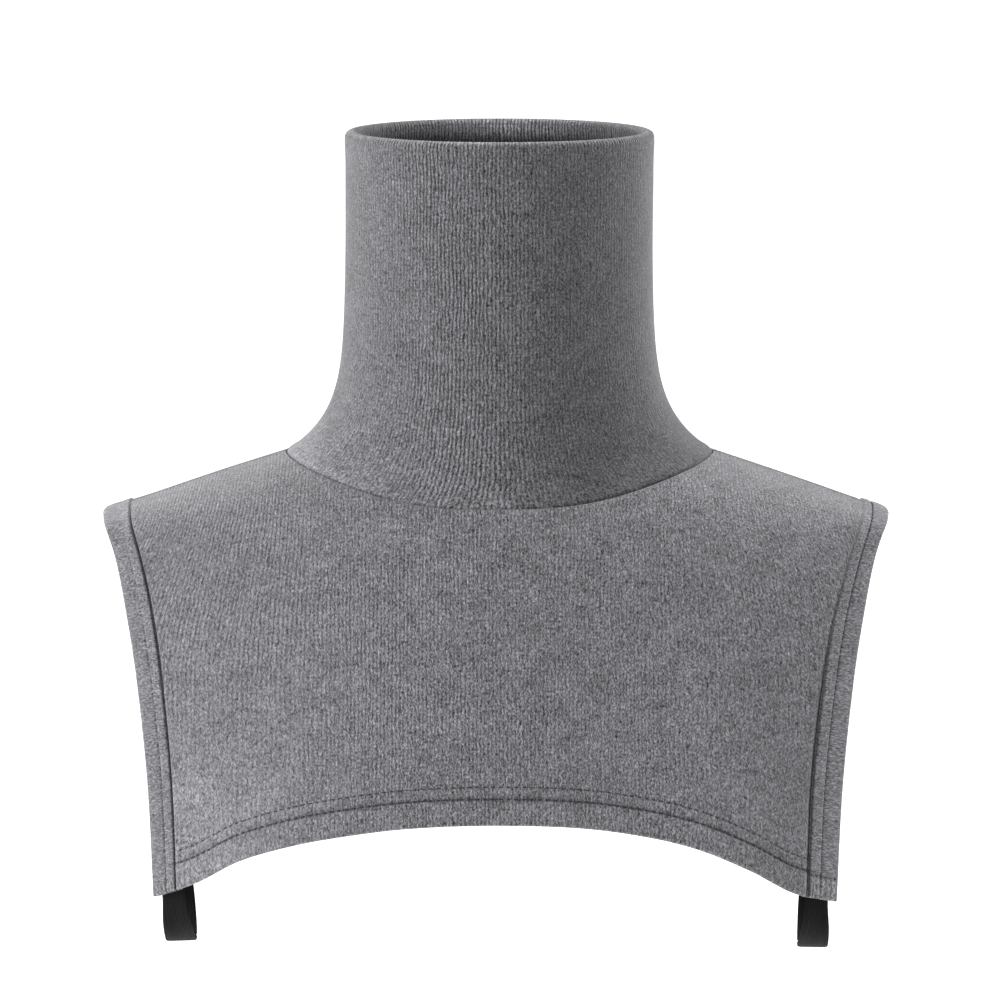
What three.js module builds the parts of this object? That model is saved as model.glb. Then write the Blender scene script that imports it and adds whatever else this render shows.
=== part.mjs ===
// Turtleneck dickey: a tall doubled knit collar on a short bib that lies on the chest, the
// shoulders and the upper back. The bib is open at the sides, its armhole edges are bound,
// and a loop of elastic joins the front and back corners under each arm.
// Millimetres, +Z up. The wearer faces -Y, so +X is the wearer's left.
// The origin is the middle of the neck base, level with the points where the shoulder
// lines meet the collar.
import * as THREE from 'three';

// Cloth
const KNIT_THICKNESS = 1.5;
const COLLAR_THICKNESS = 3.2;
const BINDING_THICKNESS = 1.1;
const ELASTIC_THICKNESS = 1.2;
const SEAM_GAP = 0.4;
const LAYER_GAP = 0.42;

// Collar
const COLLAR_HALF_WIDTH = 65;
const COLLAR_HALF_DEPTH = 61;
const RIM_HEIGHT = 137;
const RIM_FORWARD = 9;
const RIM_TILT_DEG = 1.8;
const FLARE_LENGTH = 16.5;
const COLLAR_SWAY = 0.8;

// Neck seam, an oval that lies on the bib
const NECK_SEAM_HALF_WIDTH = 91;
const NECK_SEAM_FRONT = 72;
const NECK_SEAM_BACK = 62;
const NECK_SEAM_SQUARENESS = 2.1;

// Shoulders and body under the bib
const SHOULDER_SLOPE_DEG = 19.5;
const SHOULDER_ROUNDING = 40;
const SHOULDER_ARCH_RADIUS = 98;
const BODY_HALF_WIDTH = 196;
const BODY_EDGE_SHARPNESS = 3;
const CHEST_DEPTH = 95;
const CHEST_SLOPE = 0.145;
const BACK_DEPTH = 88;
const BACK_SLOPE = 0.03;
const BUST_SWELL = 5;
const BUST_HALF_SPACING = 80;
const BUST_DROP = 172;
const BUST_SPREAD = 52;
const BIB_SWAY = -1;
const SWAY_DROP = 35;

// Bib outline seen from the front
const TIP_HALF_WIDTH = 167.5;
const FRONT_CORNER_INSET = 23;
const BACK_CORNER_INSET = 18.5;
const RIGHT_CORNER_DROP = 182.5;
const LEFT_CORNER_DROP = 184.7;
const FRONT_HEM_DROP = 143.4;
const BACK_HEM_DROP = 150;
const HEM_HEIGHT = 16;
const HEM_ROLL = 0.7;

// Armhole binding and elastic
const BINDING_WIDTH = 12.7;
const BINDING_SINK = 0.8;
const FOLD_SHOULDER = { out: 0.8, up: 0.5 };
const ELASTIC_WIDTH = 12;
const ELASTIC_EDGE = 0.1;
const ELASTIC_SEWN_LENGTH = 14;
const ELASTIC_LOOP_DEPTH = 28;
const ELASTIC_LOOP_INSET = 0.6;
const BEZIER_SHARE = 0.75;

// How far the hem drops from its middle to its corner: "at" is a share of the corner's half
// width, "left" and "right" are shares of the whole drop on the wearer's two sides.
const HEM_SHAPE = [
  { at: 0, right: 0, left: 0 },
  { at: 0.25, right: 0.04, left: 0.033 },
  { at: 0.45, right: 0.15, left: 0.147 },
  { at: 0.6, right: 0.285, left: 0.308 },
  { at: 0.75, right: 0.495, left: 0.569 },
  { at: 0.88, right: 0.79, left: 0.853 },
  { at: 1, right: 1, left: 1 },
];

// How far the armhole edge comes in from the shoulder tip to the corner: "at" is a share of
// the drop and "inward" a share of the corner's inset.
const ARMHOLE_SHAPE = [
  { at: 0, inward: 0 },
  { at: 0.1, inward: 0.27 },
  { at: 0.25, inward: 0.49 },
  { at: 0.42, inward: 0.68 },
  { at: 0.7, inward: 0.89 },
  { at: 1, inward: 1 },
];

// How finely the solids are cut
const NECK_STEPS = 24;
const SHOULDER_STEPS = 6;
const BODY_ROWS = 13;
const ROW_CROWDING_START = 0.5;
const COLLAR_ROWS = 12;
const COLLAR_FOOT_CROWDING = 1.7;
const RIM_FOLD_STEPS = 4;
const LOOP_STEPS = 16;
const SEWN_STEPS = 3;

// How finely slopes and seams are worked out
const SLOPE_STEP = 0.004;
const SEAM_SEARCH_STEPS = 50;

const degrees = (angle) => THREE.MathUtils.degToRad(angle);
const SHOULDER_SLOPE = Math.tan(degrees(SHOULDER_SLOPE_DEG));
const RIM_TILT = Math.tan(degrees(RIM_TILT_DEG));

const FRONT = {
  towards: -1, depth: CHEST_DEPTH, slope: CHEST_SLOPE, swell: BUST_SWELL,
  seam: NECK_SEAM_FRONT, hemDrop: FRONT_HEM_DROP, cornerInset: FRONT_CORNER_INSET,
};
const BACK = {
  towards: 1, depth: BACK_DEPTH, slope: BACK_SLOPE, swell: 0,
  seam: NECK_SEAM_BACK, hemDrop: BACK_HEM_DROP, cornerInset: BACK_CORNER_INSET,
};
const CORNER_DROP = { right: RIGHT_CORNER_DROP, left: LEFT_CORNER_DROP };

// The cloth of the bib stops inside the fold of its binding.
const BINDING_FOLD = BINDING_THICKNESS + LAYER_GAP;
const clothTip = TIP_HALF_WIDTH - BINDING_FOLD;

const ease = (t) => THREE.MathUtils.smoothstep(t, 0, 1);

// A smooth curve through a table's rows.
function shapeAt(table, column, at, startsLevel = false) {
  const last = table.length - 1;
  const clamped = Math.min(Math.max(at, table[0].at), table[last].at);
  const i = Math.min(Math.max(table.findIndex((row) => row.at >= clamped), 1), last);
  const slope = (k) => {
    if (k === 0 && startsLevel) return 0;
    const before = table[Math.max(k - 1, 0)];
    const after = table[Math.min(k + 1, last)];
    return (after[column] - before[column]) / (after.at - before.at);
  };
  const from = table[i - 1];
  const to = table[i];
  const span = to.at - from.at;
  const t = (clamped - from.at) / span;
  const rise = to[column] - from[column];
  const bend = slope(i - 1) * span * t * (1 - t) ** 2 - slope(i) * span * t * t * (1 - t);
  return from[column] + rise * t * t * (3 - 2 * t) + bend;
}

// Height of the shoulder line, which carries on over the neck as a rounded peak.
function shoulderLine(x) {
  const reach = Math.hypot(NECK_SEAM_HALF_WIDTH, SHOULDER_ROUNDING);
  return (reach - Math.hypot(x, SHOULDER_ROUNDING)) * SHOULDER_SLOPE;
}

// How far the bib stands from the shoulder line: an arch over the shoulder that runs into
// the wall of the chest or back.
function bibDepth(side, x, z) {
  const wall = (side.depth - side.slope * z) * (1 - (x / BODY_HALF_WIDTH) ** 2);
  const arch = Math.sqrt(2 * SHOULDER_ARCH_RADIUS * Math.max(shoulderLine(x) - z, 0));
  const both = (wall ** BODY_EDGE_SHARPNESS + arch ** BODY_EDGE_SHARPNESS) ** (1 / BODY_EDGE_SHARPNESS);
  const across = (Math.abs(x) - BUST_HALF_SPACING) / BUST_SPREAD;
  const down = (z + BUST_DROP) / BUST_SPREAD;
  return (wall * arch) / both + side.swell * Math.exp(-across * across - down * down);
}

// The drape is a little off centre: the collar sways one way and the bib the other.
function sway(z) {
  return BIB_SWAY + (COLLAR_SWAY - BIB_SWAY) * ease((z + SWAY_DROP) / SWAY_DROP);
}

const swayed = (x, y, z) => new THREE.Vector3(x + sway(z), y, z);

// Height of the neck seam over a point of the chest or back.
function seamHeight(side, x) {
  const share = Math.min(Math.abs(x) / NECK_SEAM_HALF_WIDTH, 1);
  const depth = side.seam * (1 - share ** NECK_SEAM_SQUARENESS) ** (1 / NECK_SEAM_SQUARENESS);
  let high = shoulderLine(x);
  let low = high - side.hemDrop;
  for (let step = 0; step < SEAM_SEARCH_STEPS; step += 1) {
    const middle = (high + low) / 2;
    if (bibDepth(side, x, middle) < depth) high = middle;
    else low = middle;
  }
  return { depth, height: (high + low) / 2 };
}

// A point of the bib: "u" runs from -1 to 1 between the armholes and "v" from the neck seam
// or shoulder seam at 0 to the hem at 1.
function bibPoint(side, u, v) {
  const topX = u * clothTip;
  const overShoulder = Math.abs(topX) >= NECK_SEAM_HALF_WIDTH;
  const top = overShoulder ? shoulderLine(topX) : seamHeight(side, topX).height;
  const hand = u < 0 ? 'right' : 'left';
  const drop = shapeAt(HEM_SHAPE, hand, Math.abs(u), true);
  const bottom = -side.hemDrop - (CORNER_DROP[hand] - side.hemDrop) * drop;
  const comesIn = side.cornerInset * shapeAt(ARMHOLE_SHAPE, 'inward', v);
  const x = u * (clothTip - comesIn);
  const z = top + v * (bottom - top);
  return swayed(x, side.towards * bibDepth(side, x, z), z);
}

// Rows crowd together at a shoulder seam, where the cloth turns over the shoulder.
function rowPower(u) {
  const share = (Math.abs(u) * clothTip) / NECK_SEAM_HALF_WIDTH;
  return 1 + ease((share - ROW_CROWDING_START) / (1 - ROW_CROWDING_START));
}

const bibAt = (side, u, row) => bibPoint(side, u, row ** rowPower(u));

// A point of the bib with its outward normal, and the millimetres per unit of u and of row.
function bibFrame(side, u, row) {
  const power = rowPower(u);
  const low = Math.max(row - SLOPE_STEP, 0);
  const high = row + SLOPE_STEP;
  const point = bibAt(side, u, row);
  const alongV = bibPoint(side, u, high ** power).sub(bibPoint(side, u, low ** power));
  const before = bibPoint(side, u - SLOPE_STEP, row ** power);
  const alongU = bibPoint(side, u + SLOPE_STEP, row ** power).sub(before);
  const normal = new THREE.Vector3().crossVectors(alongV, alongU).multiplyScalar(-side.towards).normalize();
  const perRow = alongV.length() / (high - low);
  return { point, normal, perRow, perU: alongU.length() / (2 * SLOPE_STEP) };
}

const lifted = (frame, height) => frame.point.clone().addScaledVector(frame.normal, height);

// The columns of the bib meet the collar's columns on the neck seam.
function neckSeamX(turn) {
  const angle = Math.PI * turn;
  const c = Math.cos(angle);
  return NECK_SEAM_HALF_WIDTH * Math.sign(c) * Math.abs(c) ** (2 / NECK_SEAM_SQUARENESS);
}

// A column stands at a share of the bib's width or, under a binding, so far in from its edge.
function bibColumns() {
  const neckEdge = NECK_SEAM_HALF_WIDTH / clothTip;
  const bandEdge = 1 - BINDING_WIDTH / clothTip;
  const wing = (sign) => [
    { sign, inward: 0, sink: BINDING_SINK },
    { sign, inward: BINDING_WIDTH / 2, sink: BINDING_SINK },
    { sign, inward: BINDING_WIDTH, sink: BINDING_SINK },
    { sign, inward: BINDING_WIDTH + 2 * LAYER_GAP, folded: true },
  ];
  const shoulder = (sign) => Array.from({ length: SHOULDER_STEPS - 1 }, (_, i) => (
    { share: sign * (bandEdge + ((neckEdge - bandEdge) * (i + 1)) / SHOULDER_STEPS), folded: true }));
  const neck = Array.from({ length: NECK_STEPS + 1 }, (_, i) => (
    { share: neckSeamX(1 - i / NECK_STEPS) / clothTip, folded: true }));
  return [...wing(-1), ...shoulder(-1), ...neck, ...shoulder(1).reverse(), ...wing(1).reverse()];
}

const shareInward = (side, sign, inward, row) => sign * (1 - inward / bibFrame(side, sign, row).perU);

// Where the rows of the bib lie in one column: down the body, then through the hem.
function bibRows(side, u) {
  const topRow = SEAM_GAP / 2 / bibFrame(side, u, 0).perRow;
  const fromBottom = (height) => 1 - height / bibFrame(side, u, 1).perRow;
  const hemTop = fromBottom(HEM_HEIGHT);
  const rows = [];
  for (let i = 0; i <= BODY_ROWS; i += 1) rows.push(topRow + ((hemTop - topRow) * i) / BODY_ROWS);
  rows.push(fromBottom(HEM_HEIGHT - KNIT_THICKNESS / 2), fromBottom(HEM_HEIGHT / 2), fromBottom(HEM_ROLL), 1);
  return rows;
}

// Gathers points and the triangles between them into one closed body.
class Skin {
  constructor() {
    this.points = [];
    this.faces = [];
  }

  add(points) {
    const first = this.points.length;
    this.points.push(...points);
    return points.map((_, i) => first + i);
  }

  // Each cell of a strip is split along its shorter diagonal, so that cloths that lie on each
  // other are split alike.
  strip(upper, lower) {
    const apart = (a, b) => this.points[a].distanceToSquared(this.points[b]);
    for (let i = 0; i + 1 < upper.length; i += 1) {
      const [a, b, c, d] = [upper[i], upper[i + 1], lower[i + 1], lower[i]];
      if (apart(a, c) < apart(b, d)) this.faces.push([a, d, c], [a, c, b]);
      else this.faces.push([a, d, b], [b, d, c]);
    }
  }

  // Joins rings of points, each closed on itself, into a tube.
  tube(rings) {
    for (let i = 0; i + 1 < rings.length; i += 1) {
      this.strip([...rings[i], rings[i][0]], [...rings[i + 1], rings[i + 1][0]]);
    }
  }

  // Closes an end of a tube whose ring runs down one leg and back up the other.
  cap(ring, turned) {
    const far = ring.length - 1;
    const outward = turned ? ([a, b, c]) => [a, c, b] : (face) => face;
    for (let i = 0; i + 1 < ring.length / 2; i += 1) {
      const [a, b, c, d] = [ring[i], ring[i + 1], ring[far - i - 1], ring[far - i]];
      this.faces.push(outward([a, b, c]), outward([a, c, d]));
    }
  }

  volume() {
    return this.faces.reduce((sum, [a, b, c]) => {
      const [p, q, r] = [this.points[a], this.points[b], this.points[c]];
      return sum + p.dot(new THREE.Vector3().crossVectors(q, r)) / 6;
    }, 0);
  }

  geometry() {
    const faces = this.volume() < 0 ? this.faces.map(([a, b, c]) => [a, c, b]) : this.faces;
    const geometry = new THREE.BufferGeometry();
    const positions = this.points.flatMap((point) => point.toArray());
    geometry.setAttribute('position', new THREE.Float32BufferAttribute(positions, 3));
    geometry.setIndex(faces.flat());
    geometry.computeVertexNormals();
    return geometry;
  }
}

// A bib panel: one layer of knit, with its hem folded up inside between the bindings.
function panel(side) {
  const skin = new Skin();
  const outer = [];
  const inner = [];
  const hemStart = BODY_ROWS + 1;
  bibColumns().forEach(({ share, sign, inward, folded, sink = 0 }) => {
    const rows = bibRows(side, share ?? sign);
    const frames = rows.map((row) => bibFrame(side, share ?? shareInward(side, sign, inward, row), row));
    const depthAt = (i) => (folded && i >= hemStart ? 2 * KNIT_THICKNESS : KNIT_THICKNESS);
    const roll = (i) => (i === rows.length - 1 ? HEM_ROLL : 0);
    outer.push(skin.add(frames.map((frame, i) => lifted(frame, -sink - roll(i)))));
    inner.push(skin.add(frames.map((frame, i) => lifted(frame, roll(i) - sink - depthAt(i)))));
  });
  for (let i = 0; i + 1 < outer.length; i += 1) {
    skin.strip(outer[i], outer[i + 1]);
    skin.strip(inner[i + 1], inner[i]);
  }
  const last = outer[0].length - 1;
  skin.strip(outer.map((column) => column[0]), inner.map((column) => column[0]));
  skin.strip(inner.map((column) => column[last]), outer.map((column) => column[last]));
  skin.strip(inner[0], outer[0]);
  skin.strip(outer[outer.length - 1], inner[inner.length - 1]);
  return skin.geometry();
}

// The collar's outer face: an upright tube that flares out to the neck seam.
function collarPoint(turn, share) {
  const angle = 2 * Math.PI * turn;
  const c = Math.cos(angle);
  const s = Math.sin(angle);
  const side = s < 0 ? FRONT : BACK;
  const power = 2 / NECK_SEAM_SQUARENESS;
  const seamX = NECK_SEAM_HALF_WIDTH * Math.sign(c) * Math.abs(c) ** power;
  const seam = seamHeight(side, seamX);
  const seamY = side.towards * seam.depth;
  const middleY = (z) => (-RIM_FORWARD * z) / RIM_HEIGHT;
  const tubeX = COLLAR_HALF_WIDTH * c;
  const tubeY = (z) => middleY(z) + COLLAR_HALF_DEPTH * s;
  const rim = RIM_HEIGHT + COLLAR_HALF_DEPTH * s * RIM_TILT;
  const z = seam.height + share * (rim - seam.height);
  const flare = Math.exp((seam.height - z) / FLARE_LENGTH);
  const x = tubeX + (seamX - tubeX) * flare;
  const y = tubeY(z) + (seamY - tubeY(seam.height)) * flare;
  return swayed(x, y, z);
}

function collarFrame(turn, share) {
  const point = collarPoint(turn, share);
  const low = Math.max(share - SLOPE_STEP, 0);
  const high = Math.min(share + SLOPE_STEP, 1);
  const up = collarPoint(turn, high).sub(collarPoint(turn, low));
  const round = collarPoint(turn + SLOPE_STEP, share).sub(collarPoint(turn - SLOPE_STEP, share));
  const normal = new THREE.Vector3().crossVectors(round, up).normalize();
  return { point, normal, up: up.clone().normalize(), perShare: up.length() / (high - low) };
}

// The collar: a doubled tube, folded round at the rim and sewn to the bib at its foot.
function collar() {
  const skin = new Skin();
  const half = COLLAR_THICKNESS / 2;
  const rings = 2 * NECK_STEPS;
  const columns = [];
  for (let i = 0; i < rings; i += 1) {
    const turn = i / rings;
    const foot = SEAM_GAP / 2 / collarFrame(turn, 0).perShare;
    const top = 1 - half / collarFrame(turn, 1).perShare;
    const frames = [];
    for (let row = 0; row <= COLLAR_ROWS; row += 1) {
      const climb = (row / COLLAR_ROWS) ** COLLAR_FOOT_CROWDING;
      frames.push(collarFrame(turn, foot + (top - foot) * climb));
    }
    const outside = frames.map((frame) => frame.point);
    const inside = frames.map((frame) => lifted(frame, -COLLAR_THICKNESS));
    const rim = frames[COLLAR_ROWS];
    const fold = [];
    for (let step = 1; step < RIM_FOLD_STEPS; step += 1) {
      const angle = (Math.PI * step) / RIM_FOLD_STEPS;
      fold.push(lifted(rim, half * (Math.cos(angle) - 1)).addScaledVector(rim.up, half * Math.sin(angle)));
    }
    columns.push(skin.add([...outside, ...fold, ...inside.reverse()]));
  }
  skin.tube([...columns, columns[0]]);
  return skin.geometry();
}

// A layer wrapped round the cloth's edge, so far away from it: "inward" runs from the edge over
// the cloth and "height" is above the cloth's outer face.
function wrapped(away) {
  const middle = -KNIT_THICKNESS / 2;
  const top = [
    { inward: BINDING_WIDTH, height: away },
    { inward: BINDING_WIDTH / 2, height: away },
    { inward: 0, height: away },
    { inward: -away * FOLD_SHOULDER.out, height: away * FOLD_SHOULDER.up },
  ];
  const bottom = top.map(({ inward, height }) => ({ inward, height: 2 * middle - height })).reverse();
  return [...top, { inward: -away, height: middle }, ...bottom];
}

// The binding's cross-section: its outer face, then back along its inner face.
const bindingSection = () => [...wrapped(BINDING_FOLD), ...wrapped(LAYER_GAP).reverse()];

const bindingPoint = (side, wing, row, { inward, height }) => (
  lifted(bibFrame(side, shareInward(side, wing, inward, row), row), height - BINDING_SINK));

// The binding: one strip from the front corner over the shoulder tip to the back corner.
function armholeBinding(wing) {
  const skin = new Skin();
  const section = bindingSection();
  const ringAt = (side, row) => skin.add(section.map((spot) => bindingPoint(side, wing, row, spot)));
  const rings = [];
  const frontRows = bibRows(FRONT, wing);
  const backRows = bibRows(BACK, wing);
  for (let i = frontRows.length - 1; i > 0; i -= 1) rings.push(ringAt(FRONT, frontRows[i]));
  rings.push(ringAt(FRONT, 0));
  for (let i = 1; i < backRows.length; i += 1) rings.push(ringAt(BACK, backRows[i]));
  skin.tube(rings);
  skin.cap(rings[0], false);
  skin.cap(rings[rings.length - 1], true);
  return skin.geometry();
}

// The elastic: sewn flat behind each corner of the bib, and hanging in a loop between them.
function elasticLoop(wing) {
  const height = -KNIT_THICKNESS - 2 * LAYER_GAP - BINDING_THICKNESS - SEAM_GAP - ELASTIC_THICKNESS / 2;
  const sewn = (side) => {
    const { perRow } = bibFrame(side, wing, 1);
    const stops = [];
    for (let i = 0; i <= SEWN_STEPS; i += 1) {
      const row = 1 - (ELASTIC_SEWN_LENGTH * (SEWN_STEPS - i)) / SEWN_STEPS / perRow;
      const inner = bindingPoint(side, wing, row, { inward: ELASTIC_EDGE + ELASTIC_WIDTH, height });
      const outer = bindingPoint(side, wing, row, { inward: ELASTIC_EDGE, height });
      const across = outer.clone().sub(inner).multiplyScalar(wing).normalize();
      stops.push({ point: inner.add(outer).divideScalar(2), across });
    }
    return stops;
  };
  const front = sewn(FRONT);
  const back = sewn(BACK).reverse();
  const from = front[SEWN_STEPS].point;
  const to = back[0].point;
  const heading = (a, b) => b.clone().sub(a).normalize();
  const reach = ELASTIC_LOOP_DEPTH / BEZIER_SHARE;
  const inset = new THREE.Vector3(-wing * ELASTIC_LOOP_INSET, 0, 0);
  const loop = new THREE.CubicBezierCurve3(
    from,
    from.clone().addScaledVector(heading(front[SEWN_STEPS - 1].point, from), reach).add(inset),
    to.clone().addScaledVector(heading(back[1].point, to), reach).add(inset),
    to,
  );
  const stops = [...front];
  const level = new THREE.Vector3(1, 0, 0);
  for (let i = 1; i < LOOP_STEPS; i += 1) {
    const share = i / LOOP_STEPS;
    const sewnEnd = share < 0.5 ? front[SEWN_STEPS] : back[0];
    const across = sewnEnd.across.clone().lerp(level, ease(1 - Math.abs(2 * share - 1)));
    stops.push({ point: loop.getPoint(share), across });
  }
  stops.push(...back);
  return ribbon(stops, ELASTIC_WIDTH, ELASTIC_THICKNESS);
}

// A flat strip through a list of stops, each with the way across the strip there.
function ribbon(stops, width, thickness) {
  const skin = new Skin();
  const rings = stops.map(({ point, across }, i) => {
    const before = stops[Math.max(i - 1, 0)].point;
    const after = stops[Math.min(i + 1, stops.length - 1)].point;
    const along = after.clone().sub(before).normalize();
    const side = across.clone().addScaledVector(along, -across.dot(along)).setLength(width / 2);
    const face = new THREE.Vector3().crossVectors(side, along).setLength(thickness / 2);
    return skin.add([
      point.clone().add(side).add(face),
      point.clone().sub(side).add(face),
      point.clone().sub(side).sub(face),
      point.clone().add(side).sub(face),
    ]);
  });
  skin.tube(rings);
  skin.cap(rings[0], false);
  skin.cap(rings[rings.length - 1], true);
  return skin.geometry();
}

const knit = new THREE.MeshStandardMaterial({ color: 0x77767a, roughness: 0.95, metalness: 0 });
const elastic = new THREE.MeshStandardMaterial({ color: 0x1b1b1c, roughness: 0.7, metalness: 0 });

function piece(name, geometry, material) {
  const mesh = new THREE.Mesh(geometry, material);
  mesh.name = name;
  return mesh;
}

const dickey = new THREE.Group();
dickey.name = 'turtleneck_dickey';
dickey.add(
  piece('collar', collar(), knit),
  piece('front_panel', panel(FRONT), knit),
  piece('back_panel', panel(BACK), knit),
);
[['right', -1], ['left', 1]].forEach(([name, wing]) => {
  dickey.add(
    piece(`armhole_binding_${name}`, armholeBinding(wing), knit.clone()),
    piece(`elastic_loop_${name}`, elasticLoop(wing), elastic.clone()),
  );
});

export default dickey;
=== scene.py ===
"""Turtleneck dickey: the finished look of a tall knit collar on a short bib.

The doubled collar, the two bib panels with their stitched hems, the armhole bindings, the
elastic loops and the seams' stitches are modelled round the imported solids. Shapes are worked
out in millimetres, as the sewing pattern is, and every mesh is made in metres.
"""

import math

import bpy
import numpy as np
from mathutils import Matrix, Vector


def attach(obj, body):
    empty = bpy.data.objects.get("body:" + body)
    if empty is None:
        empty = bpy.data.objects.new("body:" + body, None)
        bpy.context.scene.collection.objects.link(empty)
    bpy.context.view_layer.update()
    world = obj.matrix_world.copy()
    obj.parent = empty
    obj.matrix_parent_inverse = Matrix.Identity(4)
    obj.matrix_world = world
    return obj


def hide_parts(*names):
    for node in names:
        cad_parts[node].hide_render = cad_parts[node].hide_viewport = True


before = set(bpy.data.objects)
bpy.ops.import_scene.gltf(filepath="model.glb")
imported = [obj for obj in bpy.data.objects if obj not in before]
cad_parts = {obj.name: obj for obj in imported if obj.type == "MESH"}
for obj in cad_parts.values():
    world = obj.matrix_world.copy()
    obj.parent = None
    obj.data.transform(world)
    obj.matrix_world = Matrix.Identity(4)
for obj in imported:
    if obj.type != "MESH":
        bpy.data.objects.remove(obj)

bl_info = {
    "name": "Turtleneck Dickey",
    "version": (1, 0, 0),
    "blender": (4, 5, 0),
    "location": "View3D > Sidebar > Dickey",
    "description": "Makes a knitted turtleneck dickey with its collar, bib, bindings and elastic",
    "category": "Add Mesh",
}

MM = 0.001

# Cloth, as in the solids
KNIT_THICKNESS = 1.5
COLLAR_THICKNESS = 3.2
BINDING_THICKNESS = 1.1
SEAM_GAP = 0.4
LAYER_GAP = 0.42

# Collar
COLLAR_HALF_WIDTH = 65
COLLAR_HALF_DEPTH = 61
RIM_HEIGHT = 137
RIM_FORWARD = 9
RIM_TILT = math.tan(math.radians(1.8))
FLARE_LENGTH = 16.5
COLLAR_SWAY = 0.8

# Neck seam
NECK_SEAM_HALF_WIDTH = 91
NECK_SEAM_SQUARENESS = 2.1

# Shoulders and body under the bib
SHOULDER_SLOPE = math.tan(math.radians(19.5))
SHOULDER_ROUNDING = 40
SHOULDER_ARCH_RADIUS = 98
BODY_HALF_WIDTH = 196
BODY_EDGE_SHARPNESS = 3
BUST_HALF_SPACING = 80
BUST_DROP = 172
BUST_SPREAD = 52
BIB_SWAY = -1
SWAY_DROP = 35

# Bib outline
TIP_HALF_WIDTH = 167.5
RIGHT_CORNER_DROP = 182.5
LEFT_CORNER_DROP = 184.7
HEM_HEIGHT = 16

# Armhole binding and elastic
BINDING_SINK = 0.8
BINDING_FOLD = BINDING_THICKNESS + LAYER_GAP
CLOTH_TIP = TIP_HALF_WIDTH - BINDING_FOLD
ELASTIC_EDGE = 0.1
ELASTIC_SEWN_LENGTH = 14
ELASTIC_LOOP_DEPTH = 28
ELASTIC_LOOP_INSET = 0.6
BEZIER_SHARE = 0.75

FRONT = {"towards": -1, "depth": 95, "slope": 0.145, "swell": 5, "seam": 72, "hem": 143.4, "inset": 23}
BACK = {"towards": 1, "depth": 88, "slope": 0.03, "swell": 0, "seam": 62, "hem": 150, "inset": 18.5}

# Each row: share of the corner's half width, drop on the right, drop on the left
HEM_SHAPE = (
    (0, 0, 0),
    (0.25, 0.04, 0.033),
    (0.45, 0.15, 0.147),
    (0.6, 0.285, 0.308),
    (0.75, 0.495, 0.569),
    (0.88, 0.79, 0.853),
    (1, 1, 1),
)
# Each row: share of the drop, share of the corner's inset
ARMHOLE_SHAPE = ((0, 0), (0.1, 0.27), (0.25, 0.49), (0.42, 0.68), (0.7, 0.89), (1, 1))

# Drops below the shoulder over which the bindings change: where it starts and how long it takes
LEFT_WIDENS = (30, 120)
LEFT_NARROWS = (25, 48)
RIGHT_NARROWS = (25, 40)

# The dip in the bib beside a binding: its width, and where and over what length it deepens
LEFT_DITCH_WIDTH = 2.6
RIGHT_DITCH_WIDTH = 0.5
LEFT_DITCH_DEEPENS = (40, 90)
RIGHT_DITCH_DEEPENS = (3, 20)
FAINTEST_DITCH = 0.1

# How far the wales run outward beside the shoulders, and where across and down they do
WALE_RUN = 38
WALE_RUN_ACROSS = (60, 115)
WALE_RUN_DOWN = (2, 88)
WALE_PASSES = 12
GIRTH_LEVEL = -110.0
LEVEL_COURSE_DROP = 120

# Middle and half width of the collar's zone of clear ribs in front
CLEAR_RIBS_AT = -6
CLEAR_RIBS_WIDTH = 34

# Painted shade on the collar: how much it darkens towards the wearer's left, and how dark its inside gets
# below the rim
LEFT_PAINTED_SHADE = 0.27
INSIDE_PAINTED_SHADE = 0.85
INSIDE_PAINTED_SHADE_DEPTH = 7.5

# Steps of the searches and measures
SLOPE_STEP = 0.004
SEAM_SEARCH_STEPS = 40
LENGTH_SAMPLES = 240
GIRTH_SAMPLES = 400
GIRTH_SHARE = 0.95
GRID_PASSES = 2
NEAR_TOP_ROW = 0.01

# Lengths at which the bib's mesh has its fine rows and columns
BIB_MIDDLE_ROWS = 78
TOP_ROWS = (0.03, 0.5, 0.8, 1.2, 1.7, 2.3, 3.0, 4.0, 5.4)
HEM_ROWS = (
    18.4, 17.4, 16.8, 16.4, 16.1, 15.8, 15.4, 14.8, 13.8, 12.8, 12.1, 11.6, 11.2, 10.9, 10.6,
    10.2, 9.6, 8.6, 7.2, 5.8, 4.6, 3.5, 2.6, 1.8, 1.2, 0.7, 0.3, 0.08,
)
EDGE_COLUMNS = (-4, -1.6, -0.4, 0.02, 0.16, 0.32, 0.5, 0.75, 1.05, 1.3, 1.6, 2.0, 2.6, 3.4, 4.4, 5.6, 7.0)
BIB_MIDDLE_COLUMNS = 194

# Lengths at which the collar's mesh has its fine rows
COLLAR_COLUMNS = 380
COLLAR_MIDDLE_ROWS = 76
COLLAR_FOOT_ROWS = (0.03, 0.5, 0.8, 1.2, 1.7, 2.3, 3.0, 4.0, 5.2)
COLLAR_TOP_ROWS = (13, 11.6, 10.2, 8.9, 7.7, 6.5, 5.4, 4.4, 3.4, 2.5, 1.7, 0.9, 0)
RIM_TURNS = 12
INSIDE_ROWS = 58
HIDDEN_ROWS = 9
HIDDEN_TURNS = 4
HIDDEN_POINTS = 2 * HIDDEN_ROWS + HIDDEN_TURNS - 1
FOOT_TUCK = 1.3

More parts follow.
